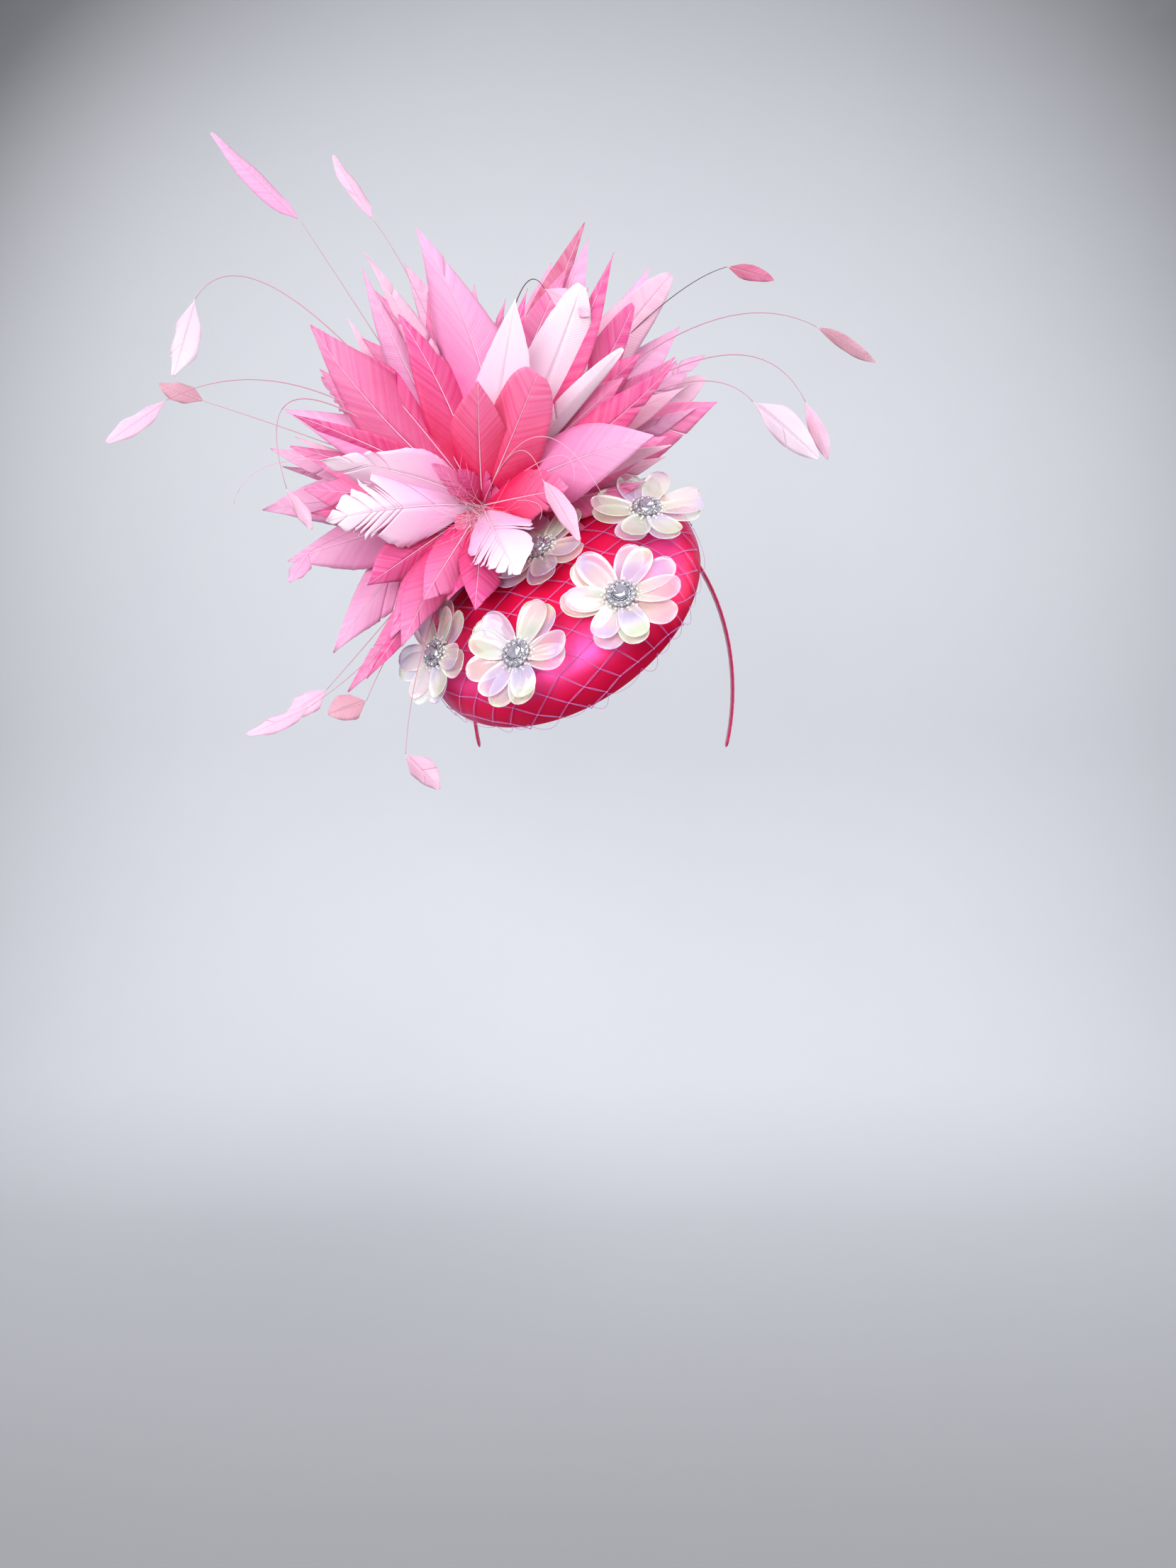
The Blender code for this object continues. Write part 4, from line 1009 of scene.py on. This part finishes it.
for row in BARE:
    wires.append(bowed_quill(*row, DYES["blush"], 0.0005, 0.0002)[1])
settled_pieces("quill_leaves", leaves, FEATHER, "feather", thickness=LEAF_THICKNESS)
settled_pieces("stripped_quills", wires, SHAFT, "feather")

# %% [markdown]
# ## Sequin flowers
# Each flower is two rings of oval petals stamped from clear iridescent film, so they take light from
# every side and throw back cream, lilac and mint. A petal is a surface of two parameters: how far along
# it, and how far across. It is narrow at the foot, rounded at the end, creased down its middle near the
# foot and curled up at its rim.

# %% Petal finish
PETAL_LENGTH = 0.0265
PETAL_WIDTH = 0.0185
PETAL_FOOT = 0.0030
PETAL_THICKNESS = 0.00025
PETAL_COUNTS = (7, 6)
RING_STEP, PETAL_STEP, PETAL_ABOVE = 0.0018, 0.00028, 0.0004


def petal_finish():
    """Clear film: its tint drifts along the petal, and it shows most at the rim, where it curls."""
    made, tree, shader = new_finish(
        "iridescent_film",
        Roughness=0.12,
        IOR=1.5,
        Transmission_Weight=0.15,
        Specular_IOR_Level=0.9,
        Coat_Weight=0.8,
        Coat_Roughness=0.05,
        Thin_Film_Thickness=420.0,
        Thin_Film_IOR=1.6,
    )
    film = placed_group(tree, FILM, UV=uv_of(tree), Shift=attribute(tree, "shift"))
    fed(tree, shader, Base_Color=film.outputs["Tint"], Alpha=film.outputs["Cover"])
    return made


PETAL = petal_finish()


# %% Petal surface
def petal_points(lift, rows=17, columns=13):
    """An oval in two parameters, with a round end, a rolled rim and a crease that fades toward its end.

    Rows are spaced by a cosine, so they crowd at the foot and at the end, where the outline turns fast.
    """
    sweep = np.linspace(0.06, 1.0, rows)[:, None] * math.pi
    along = (1.0 - np.cos(sweep)) / 2
    across = np.sin(np.linspace(-1.0, 1.0, columns)[None, :] * math.pi / 2)
    half = PETAL_WIDTH / 2 * np.sin(sweep) ** 0.85 * (0.42 + 0.58 * along**0.6)
    crease = -0.0008 * np.exp(-((across / 0.22) ** 2)) * (1.0 - along) ** 0.7
    rim = 0.0007 * np.abs(across) ** 5 + 0.0006 * along**8
    height = lift * along**1.5 + crease + rim + 0.0008 * across * np.sin(math.pi * along)
    x = across * np.maximum(half, 0.0003)
    y = PETAL_FOOT + along * PETAL_LENGTH
    uv = np.stack(np.broadcast_arrays(across, along), axis=-1)
    return np.stack([x, y + 0 * x, height + 0 * x], axis=-1), uv.reshape(-1, 2), grid_faces(rows, columns)


def turned_about_axis(points, angle):
    """Points turned about the third axis."""
    cos, sin = math.cos(angle), math.sin(angle)
    return points @ np.array([[cos, sin, 0.0], [-sin, cos, 0.0], [0.0, 0.0, 1.0]])


def placed(pieces, axes, place):
    """Pieces in a disc's own axes as one piece where the disc is worn."""
    points, faces, values = joined_pieces(pieces)
    return [(points @ axes + place, faces, values)]


def flower_petals(seed):
    """Two rings of petals on one foot, each petal a little different in lift, size, turn and height."""
    rng = np.random.default_rng(seed)
    pieces = []
    for ring, count in enumerate(PETAL_COUNTS):
        for k in range(count):
            points, uv, faces = petal_points(rng.uniform(0.0015, 0.0040) + 0.0012 * ring)
            scale = rng.uniform(0.90, 1.02) * (0.95 if ring else 1.0)
            angle = math.tau * (k + ring * 0.5) / count + rng.normal(0.0, 0.13)
            local = turned_about_axis(points.reshape(-1, 3) * scale, angle)
            local[:, 2] += PETAL_ABOVE + RING_STEP * ring + PETAL_STEP * k
            shift = np.full(len(local), rng.uniform(0.0, 1.0))
            pieces.append((local, faces, {"uv": uv, "shift": shift}))
    return pieces


FLOWER_COUNT = 5
FLOWER_SEED = 20
FOOT_HEIGHT = 0.0038
flower_frames = {}
for number in range(1, FLOWER_COUNT + 1):
    axes, place, _, _ = disc_frame(f"jewel_{number}")
    flower_frames[number] = axes, place
    petals = placed(flower_petals(FLOWER_SEED + number), axes, place - axes[2] * FOOT_HEIGHT)
    settled_pieces(
        f"film_petals_{number}", petals, PETAL, "sequin", f"petals_{number}", thickness=PETAL_THICKNESS
    )

# %% [markdown]
# ## Jewels
# In the middle of each flower a round crystal sits in a silver cup inside a ring of small stones, and
# clear seed beads peep out below. A cut stone is a stack of even rings of corners: the table, the
# crown's facets, the girdle and the pavilion. Joining the rings with flat faces gives real facets, which
# sparkle because nothing is smoothed, and the crystal's colour adds painted dark and bright glints.

# %% Stone finishes
# The crystal's colour, mottled from dark navy to white, paints dark and bright glints on its facets
CRYSTAL = mottled_finish(
    "crystal_painted_glints", 260.0, (0.06, 0.06, 0.20, 1.0), (1.0, 0.95, 1.0, 1.0),
    Roughness=0.02, IOR=1.7, Transmission_Weight=0.35, Specular_IOR_Level=1.0, Metallic=0.4,
)
SILVER = mottled_finish(
    "bright_silver", 300.0, (0.22, 0.22, 0.24, 1.0), (0.86, 0.86, 0.88, 1.0),
    0.45, Roughness=0.2, Metallic=1.0,
)
BEAD = mottled_finish(
    "seed_bead", 200.0, (0.90, 0.86, 0.84, 1.0), (1.0, 0.98, 0.97, 1.0),
    Roughness=0.08, IOR=1.5, Transmission_Weight=0.4, Specular_IOR_Level=0.8, Coat_Weight=0.5,
)


# %% Stone and bead shapes
STONE_RINGS = (
    # radius, height, share of a side turned, where the girdle's radius is 1
    (0.55, 0.46, 0.5),
    (0.84, 0.27, 0.0),
    (1.0, 0.08, 0.5),
    (1.0, -0.02, 0.5),
    (0.62, -0.34, 0.0),
    (0.05, -0.52, 0.5),
)


def cut_stone(radius, sides=8):
    """Rings of corners from table to culet, closed by a middle point above and below."""
    turn = np.arange(sides)[None, :]
    table = np.array(STONE_RINGS)
    points = round_axis(table[:, :1], table[:, 1:2], math.tau * (turn + table[:, 2:3]) / sides)
    middles = np.array([[[0.0, 0.0, 0.46]] * sides, [[0.0, 0.0, -0.53]] * sides])
    points = np.concatenate([middles[:1], points, middles[1:]]) * radius
    return points.reshape(-1, 3), grid_faces(len(STONE_RINGS) + 2, sides, closed=True)[:, ::-1]


def round_bead(radius, rows=8, columns=10):
    """A sphere as a grid of latitude by longitude."""
    polar = np.linspace(0.0, math.pi, rows)[:, None]
    turn = np.linspace(0.0, math.tau, columns, endpoint=False)[None, :]
    points = round_axis(np.sin(polar), np.cos(polar), turn).reshape(-1, 3) * radius
    return points, grid_faces(rows, columns, closed=True)


def turned_ring(profile, sides=40):
    """A closed profile of (radius, height) pairs turned once about the axis."""
    profile = np.array(profile + profile[:1])
    turn = np.linspace(0.0, math.tau, sides, endpoint=False)[None, :]
    points = round_axis(profile[:, :1], profile[:, 1:], turn)
    return points.reshape(-1, 3), grid_faces(len(profile), sides, closed=True)


def ring_of(shape, count, radius, height, phase=0.0):
    """Copies of one small shape set evenly round a circle."""
    points, faces = shape
    pieces = []
    for k in range(count):
        turned = turned_about_axis(points + np.array([radius, 0.0, height]), math.tau * (k + phase) / count)
        pieces.append((turned, faces, {}))
    return pieces


# %% Make the jewels
PLATE = [
    # radius and height of each corner of the silver plate's section, with the crystal's cup on it
    (0.0004, 0.0), (0.0062, 0.0), (0.0070, 0.0005), (0.0062, 0.0009), (0.0044, 0.0009),
    (0.0042, 0.0024), (0.0038, 0.0024), (0.0037, 0.0006), (0.0004, 0.0006),
]
CUP = [(0.0013, 0.0), (0.0014, 0.0010), (0.0011, 0.0011), (0.0010, 0.0)]
STONES, STONE_RING, STONE_RADIUS = 13, 0.0059, 0.00115
CRYSTAL_CLAWS, CRYSTAL_RING, CRYSTAL_RADIUS = 8, 0.0040, 0.0037
setting = [
    (*turned_ring(PLATE), {}),
    *ring_of(turned_ring(CUP, 10), STONES, STONE_RING, 0.0007),
    *ring_of(round_bead(0.00042, 6, 6), STONES, STONE_RING, 0.0019, 0.5),
    *ring_of(round_bead(0.00045, 6, 6), CRYSTAL_CLAWS, CRYSTAL_RING, 0.0025),
]
stones = ring_of(cut_stone(STONE_RADIUS), STONES, STONE_RING, 0.0017)
beads = ring_of(round_bead(0.00085), 17, 0.0078, -0.0002)
beads += ring_of(round_bead(0.0008), 15, 0.0092, -0.0006, 0.5)
for number, (axes, place) in flower_frames.items():
    stone_low, stone_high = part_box(f"crystal_{number}")
    crystal = placed([(*cut_stone(CRYSTAL_RADIUS), {})], axes, np.array((stone_low + stone_high) / 2))
    settled_pieces(f"centre_crystal_{number}", crystal, CRYSTAL, "crystal", f"crystal_{number}", smooth=False)
    settled_pieces(
        f"silver_setting_{number}", placed(setting, axes, place), SILVER, "silver", f"jewel_{number}"
    )
    settled_pieces(f"ring_stones_{number}", placed(stones, axes, place), CRYSTAL, "crystal", smooth=False)
    settled_pieces(f"seed_beads_{number}", placed(beads, axes, place), BEAD, "sequin")

# %% [markdown]
# ## Studio
# The floor runs back and sweeps up into a pale backdrop, so no line shows behind the hat. A painted pool of
# light brightens the paper behind the hat, and painted shade darkens it toward the corners and the floor's
# front. The light is soft: a bright sky all round, a lamp high in front on the right, a wide low one in front
# on the left that lays a sheen along the crown's shoulder, and a weaker one from each side.

# %% Floor and lights
FLOOR, NEAR, BACK, TOP, HALF_WIDTH, SWEEP = -0.62, -2.2, 0.95, 2.4, 3.0, 0.5
steps = np.linspace(0.0, math.pi / 2, 24)
floor_depth = np.linspace(NEAR, BACK - SWEEP, 14)[:-1]
wall_height = np.linspace(FLOOR + SWEEP, TOP, 25)[1:]
depth = np.concatenate([floor_depth, BACK - SWEEP + SWEEP * np.sin(steps), np.full(24, BACK)])
height = np.concatenate([np.full(13, FLOOR), FLOOR + SWEEP - SWEEP * np.cos(steps), wall_height])
across = np.linspace(-HALF_WIDTH, HALF_WIDTH, 61)[None, :]
points = np.stack(np.broadcast_arrays(across, depth[:, None], height[:, None]), axis=-1)
# The paper's colour carries a painted pool of light behind the hat, with painted shade toward the corners,
# and toward the floor's front
away = (points[..., 0] - 0.02) ** 2 + 0.8 * (points[..., 2] + 0.15) ** 2
ahead = np.clip(0.70 - points[..., 1], 0.0, 0.8)
painted_light_pool = np.maximum(1.0 - 0.25 * away**2, 0.3) * (1.0 - 0.75 * ahead)
PAPER, tree, shader = new_finish("backdrop_paper", Roughness=0.9, Specular_IOR_Level=0.1)
grain = placed_group(tree, MOTTLE, Scale=3.0).outputs["Mask"]
paper_base = mixed(tree, grain, (0.63, 0.64, 0.675, 1.0), (0.67, 0.68, 0.71, 1.0))
# The mask paints light and shade into the paper: full colour behind the hat, darker toward the corners and
# the floor's front
fed(tree, shader, Base_Color=mixed(tree, attribute(tree, "painted_light_pool"), (0.0, 0.0, 0.0, 1.0), paper_base))
faces = grid_faces(*points.shape[:2])
backdrop = mesh_piece("backdrop", points.reshape(-1, 3), faces, {"painted_light_pool": painted_light_pool.reshape(-1)}, PAPER)


def soft_lamp(name, place, target, wide, tall, power):
    """An oval area lamp that stands at a place and faces a target."""
    data = bpy.data.lights.new(name, "AREA")
    data.shape = "ELLIPSE"
    data.size, data.size_y = wide, tall
    data.energy = power
    lamp = bpy.data.objects.new(name, data)
    lamp.location = place
    way = Vector(target) - Vector(place)
    lamp.rotation_euler = way.to_track_quat("-Z", "Y").to_euler()
    bpy.context.scene.collection.objects.link(lamp)


for lamp_row in (
    # name, place, target, width, height and power in watts
    ("key", (0.45, -1.10, 1.15), (-0.02, 0.0, 0.0), 0.9, 0.9, 12.0),
    ("sheen", (-0.52, -1.18, 0.10), (-0.02, -0.04, -0.06), 1.6, 0.55, 15.0),
    ("rim", (-1.0, 0.2, 0.9), (0.0, 0.0, 0.0), 0.8, 0.8, 6.0),
    ("side", (1.1, -0.1, 0.4), (0.05, 0.0, 0.0), 0.8, 0.8, 6.0),
):
    soft_lamp(*lamp_row)
world = bpy.data.worlds.new("studio")
world.use_nodes = True
fed(world.node_tree, world.node_tree.nodes["Background"], Color=(0.90, 0.93, 1.0, 1.0), Strength=0.56)
bpy.context.scene.world = world
bpy.context.scene.view_settings.view_transform = "Standard"
